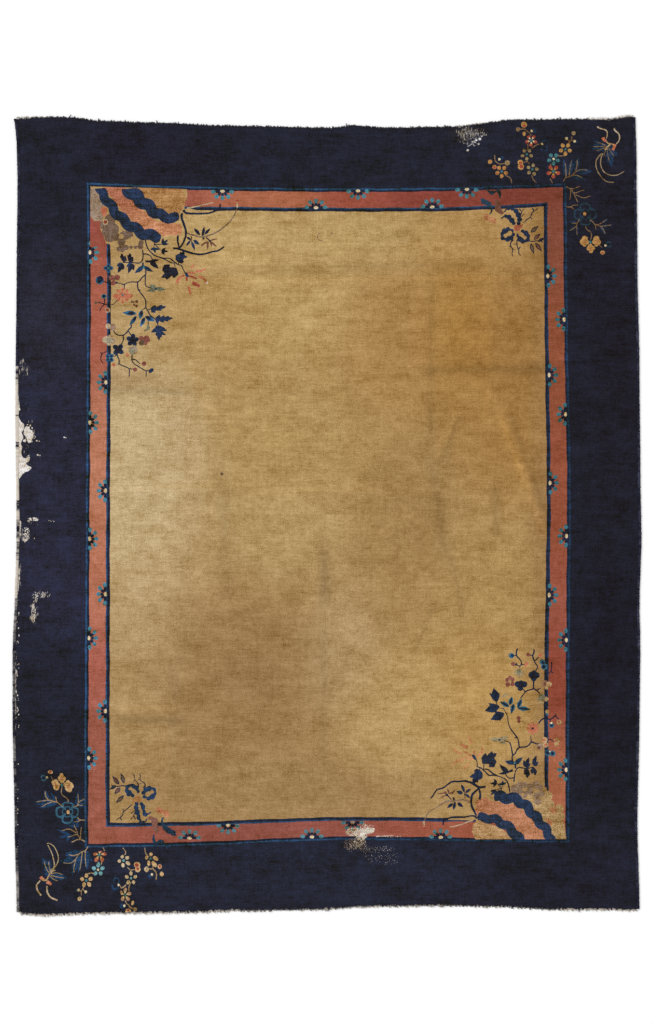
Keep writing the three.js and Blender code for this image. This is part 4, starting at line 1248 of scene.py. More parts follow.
TALL_TURN = Turned(records(
    Pin,
    (532.2, 169.8, 123.6, 860.2), (520.6, 165, 137.6, 866.8), (526.7, 154.6, 131.2, 878),
    (544, 146, 117, 882.4), (531, 140.8, 125, 894.6), (534.2, 130.8, 122.1, 906.1),
    (524, 134, 133.6, 902.4), (523.9, 124.9, 127.6, 910.4), (517.8, 129.6, 134.8, 909.8),
    (536.2, 183.2, 123, 847.6),
))
CORNER_TURN = Turned(records(
    Pin,
    (553.2, 171.8, 99.6, 854.6), (553.4, 159.2, 98.2, 869.6), (565.2, 149.4, 86.4, 880),
    (573.4, 133.5, 79.7, 898.8), (575.4, 141.4, 77.9, 889.7), (566.3, 138.9, 85.8, 891.5),
    (552.6, 183.4, 103, 847.4),
))
SIDE_TURN = Turned(records(
    Pin,
    (590.4, 245, 62.1, 782), (602.4, 252.7, 50.6, 772), (608.6, 244.8, 43.9, 777.6),
    (585, 214.4, 67.8, 811.4), (612, 225, 35.5, 801.8), (577, 230, 78, 799), (563.2, 181.8, 88, 846.4),
    (588, 171, 63, 862), (590.2, 196.2, 62, 830.6), (566, 207, 85, 820),
))


@dataclass
class Design:
    """The whole design, drawn from the ground up."""

    shapes: list[Shape] = field(default_factory=list)

    def place(self, motifs: Iterable[Motif | GuardLines], move: Turned | None = None) -> None:
        """Add motifs where they stand, or carried to the opposite corner.

        Args:
            motifs: The motifs, from the ground up.
            move: The turn that carries them, or None.
        """
        for motif in motifs:
            for outline, yarn in motif.areas():
                carried = [move(x, y) for x, y in outline] if move else outline
                self.shapes.append(Shape([metres(x, y) for x, y in carried], yarn))

    def draw(self) -> list[Shape]:
        """Draw the borders, the half flowers, the four corners and the wear.

        Returns:
            All areas, in the order in which they cover each other.
        """
        self.place((GuardLines(),))
        self.place(HALF_FLOWERS)
        self.place(CORNER_GROUND + ROCKS + OPPOSITE_ROCKS + LOWER_LEAVES)
        for corner, turn in (
                (BOUGHS + PLANT + LOOSE_FLOWER, ROCK_TURN), (SCROLLS, SCROLL_TURN),
                (NEAR_SPRAY, NEAR_TURN), (TALL_SPRAY, TALL_TURN), (CORNER_SPRAY, CORNER_TURN),
                (SIDE_SPRAYS, SIDE_TURN)):
            self.place(corner)
            self.place(corner, turn)
        self.place(TWIGS + BAND_SPRIGS + UPPER_BUD + LOWER_TWIGS + BUTTERFLY + LOWER_BUTTERFLY)
        self.place(FIELD_MARKS)
        self.place(BARE_PLACES)
        return self.shapes


@dataclass(frozen=True)
class WornPlace:
    """A place where the pile is worn towards its pale warps."""

    x: float
    y: float
    reach_x: float
    reach_y: float
    depth: float


@dataclass(frozen=True)
class Crease:
    """A soft line across the pile: a low ridge or trough, and a paler or darker streak of painted light and
    shade that stands in for how the fold catches the light.
    """

    x: float
    y: float
    end_x: float
    end_y: float
    reach: float
    rise: float = 0.0
    # Painted light and shade along the line, as a share of the colour: above 0 a painted highlight, below 0
    # a painted shadow.
    tone: float = 0.0

    def shares(self, places: np.ndarray) -> np.ndarray:
        """Find how strongly the line shows at some places on the chart, from 0 to 1.

        Args:
            places: Places on the chart, one row each.

        Returns:
            One share for each place.
        """
        start = np.array((self.x, self.y))
        run = np.array((self.end_x, self.end_y)) - start
        length = float(np.hypot(*run))
        along = (places - start) @ run / length
        aside = (places - start) @ np.array((-run[1], run[0])) / length
        beyond = np.maximum(0, np.maximum(-along, along - length))
        return np.exp(-(aside / self.reach) ** 2 - (beyond / (3 * self.reach)) ** 2)

    def spine(self, step: float = 3.0) -> Iterator[Point]:
        """Give places on and beside the line where the cloth needs points.

        Args:
            step: The distance between places, on the chart.

        Yields:
            Three places abreast at each step.
        """
        length = math.dist((self.x, self.y), (self.end_x, self.end_y))
        count = max(1, round(length / step))
        across = ((self.y - self.end_y) / length, (self.end_x - self.x) / length)
        for k in range(count + 1):
            for side in (-1.0, 0.0, 1.0):
                yield (self.x + (self.end_x - self.x) * k / count + across[0] * side * self.reach,
                       self.y + (self.end_y - self.y) * k / count + across[1] * side * self.reach)


@dataclass
class ClothFrame:
    """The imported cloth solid, as the frame that the detailed pieces follow."""

    node: str = "carpet_cloth"
    steep: float = 0.5
    probe: float = 0.5
    plain_height: float = 0.007
    edge_levels: tuple[float, ...] = (0.003, 0.006, 0.009, 0.012)
    tree: BVHTree = field(init=False)
    rim: list[Point] = field(init=False)

    def __post_init__(self) -> None:
        """Read the solid's surface and its rim."""
        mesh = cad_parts[self.node].data
        corners = [v.co.copy() for v in mesh.vertices]
        self.tree = BVHTree.FromPolygons(corners, [tuple(p.vertices) for p in mesh.polygons])
        rim = {}
        for polygon in mesh.polygons:
            if abs(polygon.normal.z) < self.steep:
                for index in polygon.vertices:
                    x, y, _ = corners[index]
                    rim[(round(x, 5), round(y, 5))] = math.atan2(y, x)
        self.rim = sorted(rim, key=rim.get)

    def heights(self, x: float, y: float) -> tuple[float, float]:
        """Find the solid's underside and top.

        Args:
            x: The place across the carpet, in metres.
            y: The place along the carpet, in metres.

        Returns:
            The heights of the underside and the top.
        """
        under = self.tree.ray_cast(Vector((x, y, -self.probe)), Vector((0, 0, 1)))[0]
        over = self.tree.ray_cast(Vector((x, y, self.probe)), Vector((0, 0, -1)))[0]
        if under is None or over is None:
            return 0.0, self.plain_height
        return under.z, over.z

    def end_edge(self, x: float, end: int) -> float | None:
        """Find where the solid ends along the carpet.

        Args:
            x: The place across the carpet, in metres.
            end: 1 for the top end, -1 for the bottom end.

        Returns:
            The place along the carpet, or nothing where the solid isn't met.
        """
        for level in self.edge_levels:
            hit = self.tree.ray_cast(Vector((x, end * 4 * self.probe, level)), Vector((0, -end, 0)))[0]
            if hit is not None:
                return hit.y
        return None


@dataclass
class Plan:
    """A flat plan in triangles, with the number of the area that shows on each, 0 for the ground."""

    flat: np.ndarray
    triangles: np.ndarray
    owners: np.ndarray


def inside(places: np.ndarray, outline: Sequence[Point], batch: int = 1024) -> np.ndarray:
    """Tell which places lie within an outline that may cross itself.

    Args:
        places: The places, one row each.
        outline: The closed outline.
        batch: The number of places worked on at once.

    Returns:
        True for each place within.
    """
    starts = np.array(outline)
    ends = np.roll(starts, -1, axis=0)
    low, high = starts.min(0), starts.max(0)
    near = np.flatnonzero(((places > low) & (places < high)).all(1))
    near = near[np.argsort(places[near, 1])]
    found = np.zeros(len(places), bool)
    for first in range(0, len(near), batch):
        chosen = near[first:first + batch]
        x, y = places[chosen, 0:1], places[chosen, 1:2]
        level = np.minimum(starts[:, 1], ends[:, 1]) <= y[-1]
        level &= np.maximum(starts[:, 1], ends[:, 1]) >= y[0]
        a, b = starts[level], ends[level]
        turn = (b[:, 0] - a[:, 0]) * (y - a[:, 1]) - (x - a[:, 0]) * (b[:, 1] - a[:, 1])
        up = (a[:, 1] <= y) & (b[:, 1] > y) & (turn > 0)
        down = (a[:, 1] > y) & (b[:, 1] <= y) & (turn < 0)
        found[chosen] = up.sum(1) != down.sum(1)
    return found


def chart_places(flat: np.ndarray) -> np.ndarray:
    """Turn places in metres into places on the chart, one row each."""
    return np.column_stack((flat[:, 0] / SQUARE + CHART_MIDDLE[0], CHART_MIDDLE[1] - flat[:, 1] / SQUARE))


@dataclass
class Cloth:
    """The knotted cloth: one closed sheet whose faces carry the yarns of the design."""

    shapes: list[Shape]
    base: ClothFrame
    name: str = "Carpet_Cloth"
    grid: float = 0.026
    back_grid: float = 0.055
    rim_step: float = 0.006
    rim_inset: float = 0.0003
    rim_ragged: float = 0.0022
    end_ragged: float = 0.0034
    knot_step: float = 0.0075
    knot_jitter: float = 0.0006
    motif_unevenness: float = 1.9
    margin: float = 0.005
    along_share: float = 0.99
    top_share: float = 0.785
    back_start: float = 0.805
    back_share: float = 0.19
    seed: int = 11
    worn: tuple[WornPlace, ...] = records(
        WornPlace,
        (16.6, 441, 2.2, 60, 1), (26, 437, 11, 42, 0.36), (18.5, 529, 5, 12, 0.9), (31, 519.6, 9, 4, 0.5),
        (26, 536, 6, 8, 0.5), (17, 578, 3.4, 24, 0.8), (34.4, 611, 5, 18, 0.5), (42, 595, 9, 5, 0.42),
        (15, 690, 3.5, 60, 0.62), (24, 368, 7, 16, 0.5), (469, 127, 16, 1.5, 0.6), (362, 833, 10, 6, 0.6),
        (24, 116, 14, 3.5, 0.7), (612, 116, 24, 3, 0.6),
    )
    # Each crease: start x and y, end x and y, reach, rise, and the painted light and shade along it; where
    # the rise is 0 only the painted streak is there.
    creases: tuple[Crease, ...] = records(
        Crease,
        (216, 267.5, 480, 266.5, 2.4, -0.0012, -0.12), (216, 274, 440, 273, 4, 0, -0.07),
        (230, 281, 540, 280, 4, 0.0022, 0.08), (436, 371.5, 544, 368.5, 5, -0.0022, -0.2),
        (116, 391.5, 180, 392.5, 3.5, -0.0016, -0.15), (124, 492, 220, 485, 4, 0.0022, 0.08),
        (288, 491, 452, 489, 4, 0.0018, 0.07), (124, 708, 172, 709, 3.5, 0.0018, 0.15),
        (124, 719, 172, 721, 5, -0.0014, -0.17), (503.6, 425, 541.6, 525, 4.5, 0.0022, 0.24),
        (511.6, 422, 545, 510, 3.5, -0.001, -0.13), (455, 416, 439, 456, 3.5, 0.0018, 0.07),
        (459.7, 417.5, 443.7, 457.5, 3, -0.001, -0.13), (433.5, 468, 443.5, 544, 5.5, -0.0016, -0.18),
        (453, 560, 465, 620, 3, -0.0016, -0.13), (434.8, 605, 418.8, 645, 2.5, -0.0012, -0.11),
        (487, 272, 488, 416, 5, 0.0018, 0.09), (432, 292, 431, 424, 5, -0.0014, -0.13),
        (495, 496, 496, 528, 4, -0.0014, -0.17), (324, 640, 325, 760, 5, -0.0012, -0.12),
        (174, 680, 175, 780, 6, -0.001, -0.08), (225, 480, 226, 572, 8, -0.001, -0.11),
        (324, 561, 325, 585, 6, -0.0016, -0.27), (317, 569, 309, 605, 5, 0.0018, 0.07),
        (197, 373, 209, 409, 5, 0.0016, 0.09), (212, 408, 236, 432, 4, 0.0016, 0.08),
        (396, 236, 404, 236, 6, 0, -0.1), (428, 244, 436, 244, 7, 0, 0.11),
    )

    def rim_outline(self, rng: random.Random) -> list[Point]:
        """Cut the cloth's outline, ragged along the solid's rim and more so at the ends.

        Args:
            rng: The source of the irregularity.

        Returns:
            The outline's points, in metres.
        """
        outline = []
        for a, b in zip(self.base.rim, self.base.rim[1:] + self.base.rim[:1]):
            reach = math.dist(a, b)
            along_end = abs(b[0] - a[0]) > abs(b[1] - a[1])
            steps = max(1, round(reach / self.rim_step))
            for k in range(steps):
                x, y = a[0] + (b[0] - a[0]) * k / steps, a[1] + (b[1] - a[1]) * k / steps
                inset = self.rim_inset + self.rim_ragged * rng.random()
                if along_end:
                    inset = self.end_ragged * rng.triangular(-1.0, 1.3, -0.3)
                outline.append((x - (b[1] - a[1]) / reach * inset, y + (b[0] - a[0]) / reach * inset))
        return outline

    def knotted(self, outline: Sequence[Point], rng: random.Random) -> list[Point]:
        """Give an outline the small steps of a knotted edge.

        Args:
            outline: A closed outline, in metres.
            rng: The source of the irregularity.

        Returns:
            The stepped outline.
        """
        knotted = []
        for a, b in zip(outline, list(outline[1:]) + [outline[0]]):
            steps = max(1, round(math.dist(a, b) / self.knot_step))
            for k in range(steps):
                knotted.append((
                    a[0] + (b[0] - a[0]) * k / steps + rng.uniform(-1, 1) * self.knot_jitter,
                    a[1] + (b[1] - a[1]) * k / steps + rng.uniform(-1, 1) * self.knot_jitter,
                ))
        return knotted

    def wear_at(self, places: np.ndarray) -> np.ndarray:
        """Find how worn the pile is at some places on the chart.

        Args:
            places: The places, one row each.

        Returns:
            The wear of each, from 0 to 1.
        """
        wear = np.zeros(len(places))
        for spot in self.worn:
            across = (places[:, 0] - spot.x) / spot.reach_x
            along = (places[:, 1] - spot.y) / spot.reach_y
            within = 1.25 - np.maximum(across ** 2 + along ** 2, 0.35 * (np.abs(across) + np.abs(along)))
            wear = np.maximum(wear, spot.depth * eased(within))
        return wear

    def cut(self, rim: Sequence[Point], outlines: Sequence[Sequence[Point]], grid: float,
            rng: random.Random) -> Plan:
        """Cut the plan into triangles along the rim and every edge of the design.

        Args:
            rim: The cloth's outline.
            outlines: The outlines of the areas, in the order in which they cover each other.
            grid: The distance between the plain points of the ground.
            rng: The source of the ground's irregularity.

        Returns:
            The plan, with its rim points first.
        """
        points: list[Vector] = []
        edges: list[Point] = []
        for outline in (rim, *outlines):
            first = len(points)
            count = len(outline)
            edges.extend((first + k, first + (k + 1) % count) for k in range(count))
            points.extend(Vector(p) for p in outline)
        low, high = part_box(self.base.node)
        for row in range(int((high.y - low.y) / grid)):
            for column in range(int((high.x - low.x) / grid)):
                x = low.x + (column + 0.5 + 0.3 * rng.uniform(-1, 1)) * grid
                y = low.y + (row + 0.5 + 0.3 * rng.uniform(-1, 1)) * grid
                points.append(Vector((x, y)))
        points.extend(Vector(metres(x, y)) for crease in self.creases for x, y in crease.spine())
        places, _, faces, origins, _, _ = delaunay_2d_cdt(points, edges, [], 0, 1e-5, True)
        flat = np.array([tuple(p) for p in places])
        triangles = np.array(faces)
        middles = flat[triangles].mean(1)
        kept = inside(middles, rim)
        triangles, middles = triangles[kept], middles[kept]
        owners = np.zeros(len(triangles), int)
        for number, outline in enumerate(outlines, start=1):
            owners[inside(middles, outline)] = number
        rank = np.full(len(flat), len(rim))
        for index, inputs in enumerate(origins):
            rank[index] = min([len(rim), *inputs])
        used = np.unique(triangles)
        used = used[np.argsort(rank[used], kind="stable")]
        order = np.zeros(len(flat), int)
        order[used] = np.arange(len(used))
        return Plan(flat[used], order[triangles], owners)

    def build(self) -> Object:
        """Make the closed sheet with its yarn, wear and layout.

        Returns:
            The cloth's object.
        """
        rng = random.Random(self.seed)
        rim = self.rim_outline(rng)
        top = self.cut(rim, [self.knotted(shape.outline, rng) for shape in self.shapes], self.grid, rng)
        back = self.cut(rim, [shape.outline[::3] for shape in self.shapes], self.back_grid, rng)
        count = len(top.flat)
        flat = np.concatenate((top.flat, back.flat))
        chart = chart_places(flat)
        heights = np.array([self.base.heights(x, y)[1] for x, y in top.flat]
                           + [self.base.heights(x, y)[0] for x, y in back.flat])
        rises = sum(crease.rise * crease.shares(chart) for crease in self.creases)
        heights[:count] += rises[:count]
        heights[count:] += np.maximum(rises[count:], 0)
        faces = [tuple(triangle) for triangle in top.triangles.tolist()]
        faces += [tuple(count + index for index in triangle[::-1]) for triangle in back.triangles.tolist()]
        faces += [(k, count + k, count + (k + 1) % len(rim), (k + 1) % len(rim)) for k in range(len(rim))]
        mesh = bpy.data.meshes.new(self.name)
        mesh.from_pydata(np.column_stack((flat, heights)).tolist(), [], faces)
        cloth = bpy.data.objects.new(self.name, mesh)
        bpy.context.scene.collection.objects.link(cloth)
        self.dye(mesh, top, back, chart)
        self.lay_out(mesh, flat, len(top.triangles))
        LOG.info("%s: %d top and %d back triangles, %d areas of yarn", self.name, len(top.triangles),
                 len(back.triangles), len(self.shapes))
        return cloth

    def dye(self, mesh: Mesh, top: Plan, back: Plan, chart: np.ndarray) -> None:
        """Store the yarn colour of every corner, with the creases' painted light and shade multiplied in,
        and the wear of every point.

        Args:
            mesh: The cloth's mesh.
            top: The plan of the pile.
            back: The plan of the back.
            chart: The chart places of the mesh's points.
        """
        names = list(Yarn)
        shown = np.array([names.index(Yarn.BORDER)] + [names.index(shape.yarn) for shape in self.shapes])
        totals = np.zeros(len(mesh.polygons), int)
        mesh.polygons.foreach_get("loop_total", totals)
        face_yarn = np.full(len(mesh.polygons), names.index(Yarn.BORDER))
        owners = np.concatenate((top.owners, back.owners))
        face_yarn[:len(owners)] = shown[owners]
        corner_yarn = np.repeat(face_yarn, totals)
        corner_point = np.zeros(len(mesh.loops), int)
        mesh.loops.foreach_get("vertex_index", corner_point)
        corner_place = chart[corner_point]
        colours = np.ones((len(mesh.loops), 4))
        for index, yarn in enumerate(names):
            chosen = corner_yarn == index
            if chosen.any():
                colours[chosen, :3] = yarn.value.colours(corner_place[chosen])
        # Paint the creases' light and shade into the colours: paler where a fold catches the light, darker
        # where it is in shade.
        tone = 1 + sum(crease.tone * crease.shares(chart) for crease in self.creases)
        colours[:, :3] *= tone[corner_point, None]
        plain = [names.index(yarn) for yarn in (Yarn.BORDER, Yarn.BAND, Yarn.FIELD)]
        colours[:, 3] = np.where(np.isin(corner_yarn, plain), 1.0, self.motif_unevenness)
        attribute = mesh.attributes.new("yarn", "FLOAT_COLOR", "CORNER")
        attribute.data.foreach_set("color", colours.ravel())
        wear = mesh.attributes.new("wear", "FLOAT", "POINT")
        wear.data.foreach_set("value", self.wear_at(chart))

    def lay_out(self, mesh: Mesh, flat: np.ndarray, top_count: int) -> None:
        """Lay the top and the back out side by side in the OFBake UV map.

        Args:
            mesh: The cloth's mesh.
            flat: Its points' places on the plan.
            top_count: The number of faces in the top.
        """
        low, high = flat.min(0), flat.max(0)
        share = (flat - low) / (high - low)
        layer = mesh.uv_layers.new(name="OFBake")
        corner_point = np.zeros(len(mesh.loops), int)
        mesh.loops.foreach_get("vertex_index", corner_point)
        starts = np.zeros(len(mesh.polygons), int)
        mesh.polygons.foreach_get("loop_start", starts)
        placed = share[corner_point]
        top_end = starts[top_count]
        along, across = self.along_share * placed[:, 1], placed[:, 0]
        uv = np.column_stack((self.margin + along, self.back_start + self.back_share * across))
        uv[:top_end, 1] = self.margin + self.top_share * across[:top_end]
        layer.data.foreach_set("uv", uv.ravel())
        backs = np.arange(len(mesh.polygons)) >= top_count
        mesh.polygons.foreach_set("material_index", backs.astype(int))


@dataclass
class YarnMesh:
    """A mesh of closed tubes, each of rings about a route, with a colour for each ring."""

    vertices: list[Vector] = field(default_factory=list)
    faces: list[tuple[int, ...]] = field(default_factory=list)
    colours: list[np.ndarray] = field(default_factory=list)

    def rings(self, rings: Sequence[Sequence[Vector]], colours: Sequence[np.ndarray]) -> None:
        """Join rings of equal count into one closed tube.

        Args:
            rings: The points of each ring, anticlockwise as seen from the tube's start.
            colours: The linear colour of each ring.
        """
        first = len(self.vertices)
        sides = len(rings[0])
        for ring, colour in zip(rings, colours):
            self.vertices.extend(ring)
            self.colours.extend([colour] * sides)
        for row in range(len(rings) - 1):
            start = first + row * sides
            self.faces.extend(
                (start + k, start + sides + k, start + sides + (k + 1) % sides, start + (k + 1) % sides)
                for k in range(sides)
            )
        end = first + (len(rings) - 1) * sides
        self.faces.append(tuple(first + k for k in range(sides)))
        self.faces.append(tuple(end + k for k in reversed(range(sides))))

    def strand(self, route: Sequence[Vector], reaches: Sequence[float], colours: Sequence[np.ndarray],
               sides: int = 4) -> None:
        """Add one thin strand along a route.

        Args:
            route: The strand's middle line.
            reaches: Its radius at each place.
            colours: Its colour at each place.
            sides: The number of its sides.
        """
        rings = []
        for index, place in enumerate(route):
            ahead = (route[min(index + 1, len(route) - 1)] - route[max(index - 1, 0)]).normalized()
            aside = ahead.cross(Vector((0, 0, 1))).normalized()
            above = aside.cross(ahead)
            rings.append([
                place + reaches[index] * (math.cos(math.tau * k / sides) * aside
                                          + math.sin(math.tau * k / sides) * above)
                for k in range(sides)
            ])
        self.rings(rings, colours)

    def finish(self, name: str, material: Material) -> Object:
        """Make the object with its colours and its finish.

        Args:
            name: The object's name.
            material: Its finish.

        Returns:
            The object.
        """
        mesh = bpy.data.meshes.new(name)
        mesh.from_pydata([tuple(v) for v in self.vertices], [], self.faces)
        attribute = mesh.attributes.new("yarn", "FLOAT_COLOR", "POINT")
        shades = np.column_stack((np.array(self.colours), np.ones(len(self.colours))))
        attribute.data.foreach_set("color", shades.ravel())
        mesh.materials.append(material)
        piece = bpy.data.objects.new(name, mesh)
        bpy.context.scene.collection.objects.link(piece)
        LOG.info("%s: %d faces", name, len(self.faces))
        return piece


@dataclass(frozen=True)
class Stretch:
    """A stretch along a side or an end, on the chart, with a value that holds there."""

    start: float
    end: float
    value: float


def along(stretches: Sequence[Stretch], place: float, plain: float) -> float:
    """Find the value that holds at a place, where no stretch covers it the plain one.

    Args:
        stretches: The stretches to look in.
        place: The place along the side or end, on the chart.
        plain: The value outside every stretch.

    Returns:
        The value.
    """
    for stretch in stretches:
        if stretch.start <= place <= stretch.end:
            return stretch.value
    return plain


@dataclass
class SideCord:
    """A side cord: edge warps overcast with slanting turns of wool, worn bare in places."""

    node: str
    name: str
    bare: tuple[Stretch, ...] = ()
    pitch: float = 0.005
    ring_step: float = 0.0017
    sides: int = 12
    ridge: float = 0.0005
    overlap: float = 0.0024
    swell: float = 0.0016
    probe_step: float = 0.02
    probe_height: float = 0.0016
    end_margin: float = 0.0006
    wool: str = "#1f1f2d"
    dust: str = "#3f4152"
    cotton: str = "#cfc5b8"
    seed: int = 5

    def section(self, y: float, low: Vector, high: Vector, tree: BVHTree) -> Section | None:
        """Find the solid cord's two sides and its top at one place along it.

        Args:
            y: The place along the cord.
            low: The low corner of the solid's box.
            high: Its high corner.
            tree: The solid's faces.

        Returns:
            The left side, the right side and the top, or None beyond the ends.
        """
        reach = 0.1
        left = tree.ray_cast(Vector((low.x - reach, y, self.probe_height)), Vector((1, 0, 0)))[0]
        right = tree.ray_cast(Vector((high.x + reach, y, self.probe_height)), Vector((-1, 0, 0)))[0]
        if left is None or right is None:
            return None
        top = tree.ray_cast(Vector(((left.x + right.x) / 2, y, reach)), Vector((0, 0, -1)))[0]
        return (left.x, right.x, top.z) if top else None

    def build(self, material: Material) -> Object:
        """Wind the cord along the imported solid.

        Args:
            material: The cord's finish.

        Returns:
            The cord's object.
        """
        rng = random.Random(self.seed)
        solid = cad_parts[self.node].data
        corners = [vertex.co.copy() for vertex in solid.vertices]
        tree = BVHTree.FromPolygons(corners, [tuple(face.vertices) for face in solid.polygons])
        low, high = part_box(self.node)
        probes = []
        for k in range(int((high.y - low.y) / self.probe_step) + 2):
            y = min(low.y + self.end_margin + k * self.probe_step, high.y - self.end_margin)
            found = self.section(y, low, high, tree)
            if found:
                probes.append((y, *found))
        ys, lefts, rights, tops = (np.array(column) for column in zip(*probes))
        count = int((ys[-1] - ys[0]) / self.ring_step)
        rings, colours = [], []
        lint, bulge = 0.0, 0.0
        for k in range(count + 1):
            y = ys[0] + (ys[-1] - ys[0]) * k / count
            left, right, top = (float(np.interp(y, ys, column)) for column in (lefts, rights, tops))
            bulge = 0.6 * bulge + 0.4 * rng.uniform(-1, 1)
            rings.append(self.ring(y, left - self.swell * bulge, right + self.swell * bulge, top))
            lint = 0.92 * lint + 0.08 * rng.uniform(-1, 1)
            chart_y = CHART_MIDDLE[1] - y / SQUARE
            bareness = along(self.bare, chart_y, 0.0)
            bareness = bareness if bareness > 0.9 else min(1.0, bareness * max(0.0, 1 + 9 * lint))
            dusty = max(0.0, min(1.0, 0.2 + 3 * lint))
            dyed = linear(self.wool) + (linear(self.dust) - linear(self.wool)) * dusty
            colours.append((dyed + (linear(self.cotton) - dyed) * bareness) * rng.uniform(0.86, 1.14))
        cord = YarnMesh()
        cord.rings(rings, colours)
        return cord.finish(self.name, material)

    def ring(self, y: float, left: float, right: float, top: float) -> list[Vector]:
        """Give one ring of the cord, with the ridges of the slanting turns.

        Args:
            y: The place along the cord.
            left: Its left side.
            right: Its right side.
            top: Its top.

        Returns:
            The ring's points.
        """
        middle, half, rise = (left + right) / 2, (right - left) / 2 + self.overlap, top / 2
        ring = []
        for k in range(self.sides):
            angle = math.tau * k / self.sides
            turn = self.ridge * (abs(math.sin(math.pi * (y / self.pitch + angle / math.tau))) - 0.6)
            x = middle + math.cos(angle) * (half + turn)
            z = rise + math.sin(angle) * (rise + turn)
            ring.append(Vector((x, y, max(z, 0.0001))))
        return ring


@dataclass
class WornEnd:
    """One end: a narrow woven web with what is left of the warps, and pile tufts that lean over it."""

    end: int
    node: str
    name: str
    base: ClothFrame
    lengths: tuple[Stretch, ...]
    paleness: tuple[Stretch, ...]
    plain_length: float = 0.006
    plain_paleness: float = 0.3
    web_depth: float = 0.0045
    web_overlap: float = 0.004
    web_ragged: float = 0.0009
    web_top: float = 0.0019
    web_step: float = 0.006
    lock_step: float = 0.0098
    strands: int = 2
    strand_reach: float = 0.0013
    nub_step: float = 0.0095
    nub_reach: float = 0.0034
    nub_out: float = 0.0025
    lean: float = 0.5
    tuft_step: float = 0.0075
    tuft_length: float = 0.0105
    tuft_reach: float = 0.0026
    tuft_root: float = 0.0026
    stray_share: float = 0.06
    margin: float = 0.004
    dirty: str = "#39353a"
    cotton: str = "#cdc3b6"
    seed: int = 21

    def edge(self) -> tuple[np.ndarray, np.ndarray]:
        """Trace the solid cloth's end.

        Returns:
            Places across the carpet and the edge's place along it at each.
        """
        low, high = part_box(self.base.node)
        found = []
        for x in np.arange(low.x + self.margin, high.x - self.margin, self.web_step):
            y = self.base.end_edge(float(x), self.end)
            if y is not None and abs(y) > 0.9 * max(abs(low.y), abs(high.y)):
                found.append((float(x), y))
        xs, ys = zip(*found)
        return np.array(xs), np.array(ys)

    def shade(self, x: float, rng: random.Random) -> np.ndarray:
        """Mix the warps' colour at one place across the carpet.

        Args:
            x: The place across.
            rng: The source of the irregularity.

        Returns:
            Linear red, green and blue.
        """
        paleness = along(self.paleness, x / SQUARE + CHART_MIDDLE[0], self.plain_paleness)
        share = min(1.0, paleness * rng.uniform(0.5, 1.3))
        return linear(self.dirty) + (linear(self.cotton) - linear(self.dirty)) * share

    def fringe(self, material: Material) -> Object:
        """Weave the web and leave its warps loose.

        Args:
            material: The cotton's finish.

        Returns:
            The fringe's object.
        """
        rng = random.Random(self.seed)
        xs, ys = self.edge()
        yarn = YarnMesh()
        rings, colours = [], []
        for x, y in zip(xs, ys):
            inner = y - self.end * self.web_overlap
            outer = y + self.end * (self.web_depth + rng.uniform(-1, 1) * self.web_ragged)
            first, last = sorted((inner, outer))
            rings.append([Vector((x, last, FLOOR_GAP)), Vector((x, last, self.web_top)),
                          Vector((x, first, self.web_top)), Vector((x, first, FLOOR_GAP))])
            colours.append(self.shade(x, rng))
        yarn.rings(rings, colours)
        for place in np.arange(xs[0], xs[-1], self.lock_step):
            for _ in range(self.strands):
                x = float(place) + rng.uniform(-0.4, 0.4) * self.lock_step
                self.warp(yarn, x, float(np.interp(x, xs, ys)), rng)
        for place in np.arange(xs[0], xs[-1], self.nub_step):
            x = float(place) + rng.uniform(-0.5, 0.5) * self.nub_step
            self.nub(yarn, x, float(np.interp(x, xs, ys)), rng)
        return yarn.finish(self.name, material)

    def nub(self, yarn: YarnMesh, x: float, y: float, rng: random.Random) -> None:
        """Add one knotted clump of warp ends.

        Args:
            yarn: The mesh that it goes into.
            x: The place across.
            y: The edge there.
            rng: The source of the irregularity.
        """
        reach = self.nub_reach * rng.uniform(0.5, 1.15)
        lean, root = rng.gauss(0, 0.8), y + self.end * (self.nub_out + rng.uniform(-1, 1) * 0.0014)
        route = [Vector((x + math.sin(lean) * reach * step, root + self.end * reach * step,
                         reach + FLOOR_GAP))
                 for step in (0.0, 0.7, 1.5, 2.1)]
        yarn.strand(route, [reach * share for share in (0.7, 1.0, 0.9, 0.4)], [self.shade(x, rng)] * 4, 6)

    def warp(self, yarn: YarnMesh, x: float, y: float, rng: random.Random) -> None:
        """Add one loose warp that lies on the floor.

        Args:
            yarn: The mesh that it goes into.
            x: The place across.
            y: The edge there.
            rng: The source of the irregularity.
        """
        length = along(self.lengths, x / SQUARE + CHART_MIDDLE[0], self.plain_length)
        length *= rng.uniform(0.55, 1.1)
        lean, curl = rng.gauss(0, self.lean), rng.gauss(0, 0.5)
        root = y + self.end * (self.web_depth - 0.001)
        route, heading = [Vector((x, root, 0.0011))], lean
        for k in range(4):
            heading += curl / 4
            step = length / 4
            before = route[-1]
            route.append(Vector((before.x + math.sin(heading) * step,
                                 before.y + self.end * math.cos(heading) * step, 0.0011 - 0.0001 * k)))
        shade = self.shade(x, rng)
        reaches = [self.strand_reach * (1 - 0.16 * k) for k in range(5)]
        yarn.strand(route, reaches, [shade * rng.uniform(0.85, 1.15)] * 5)

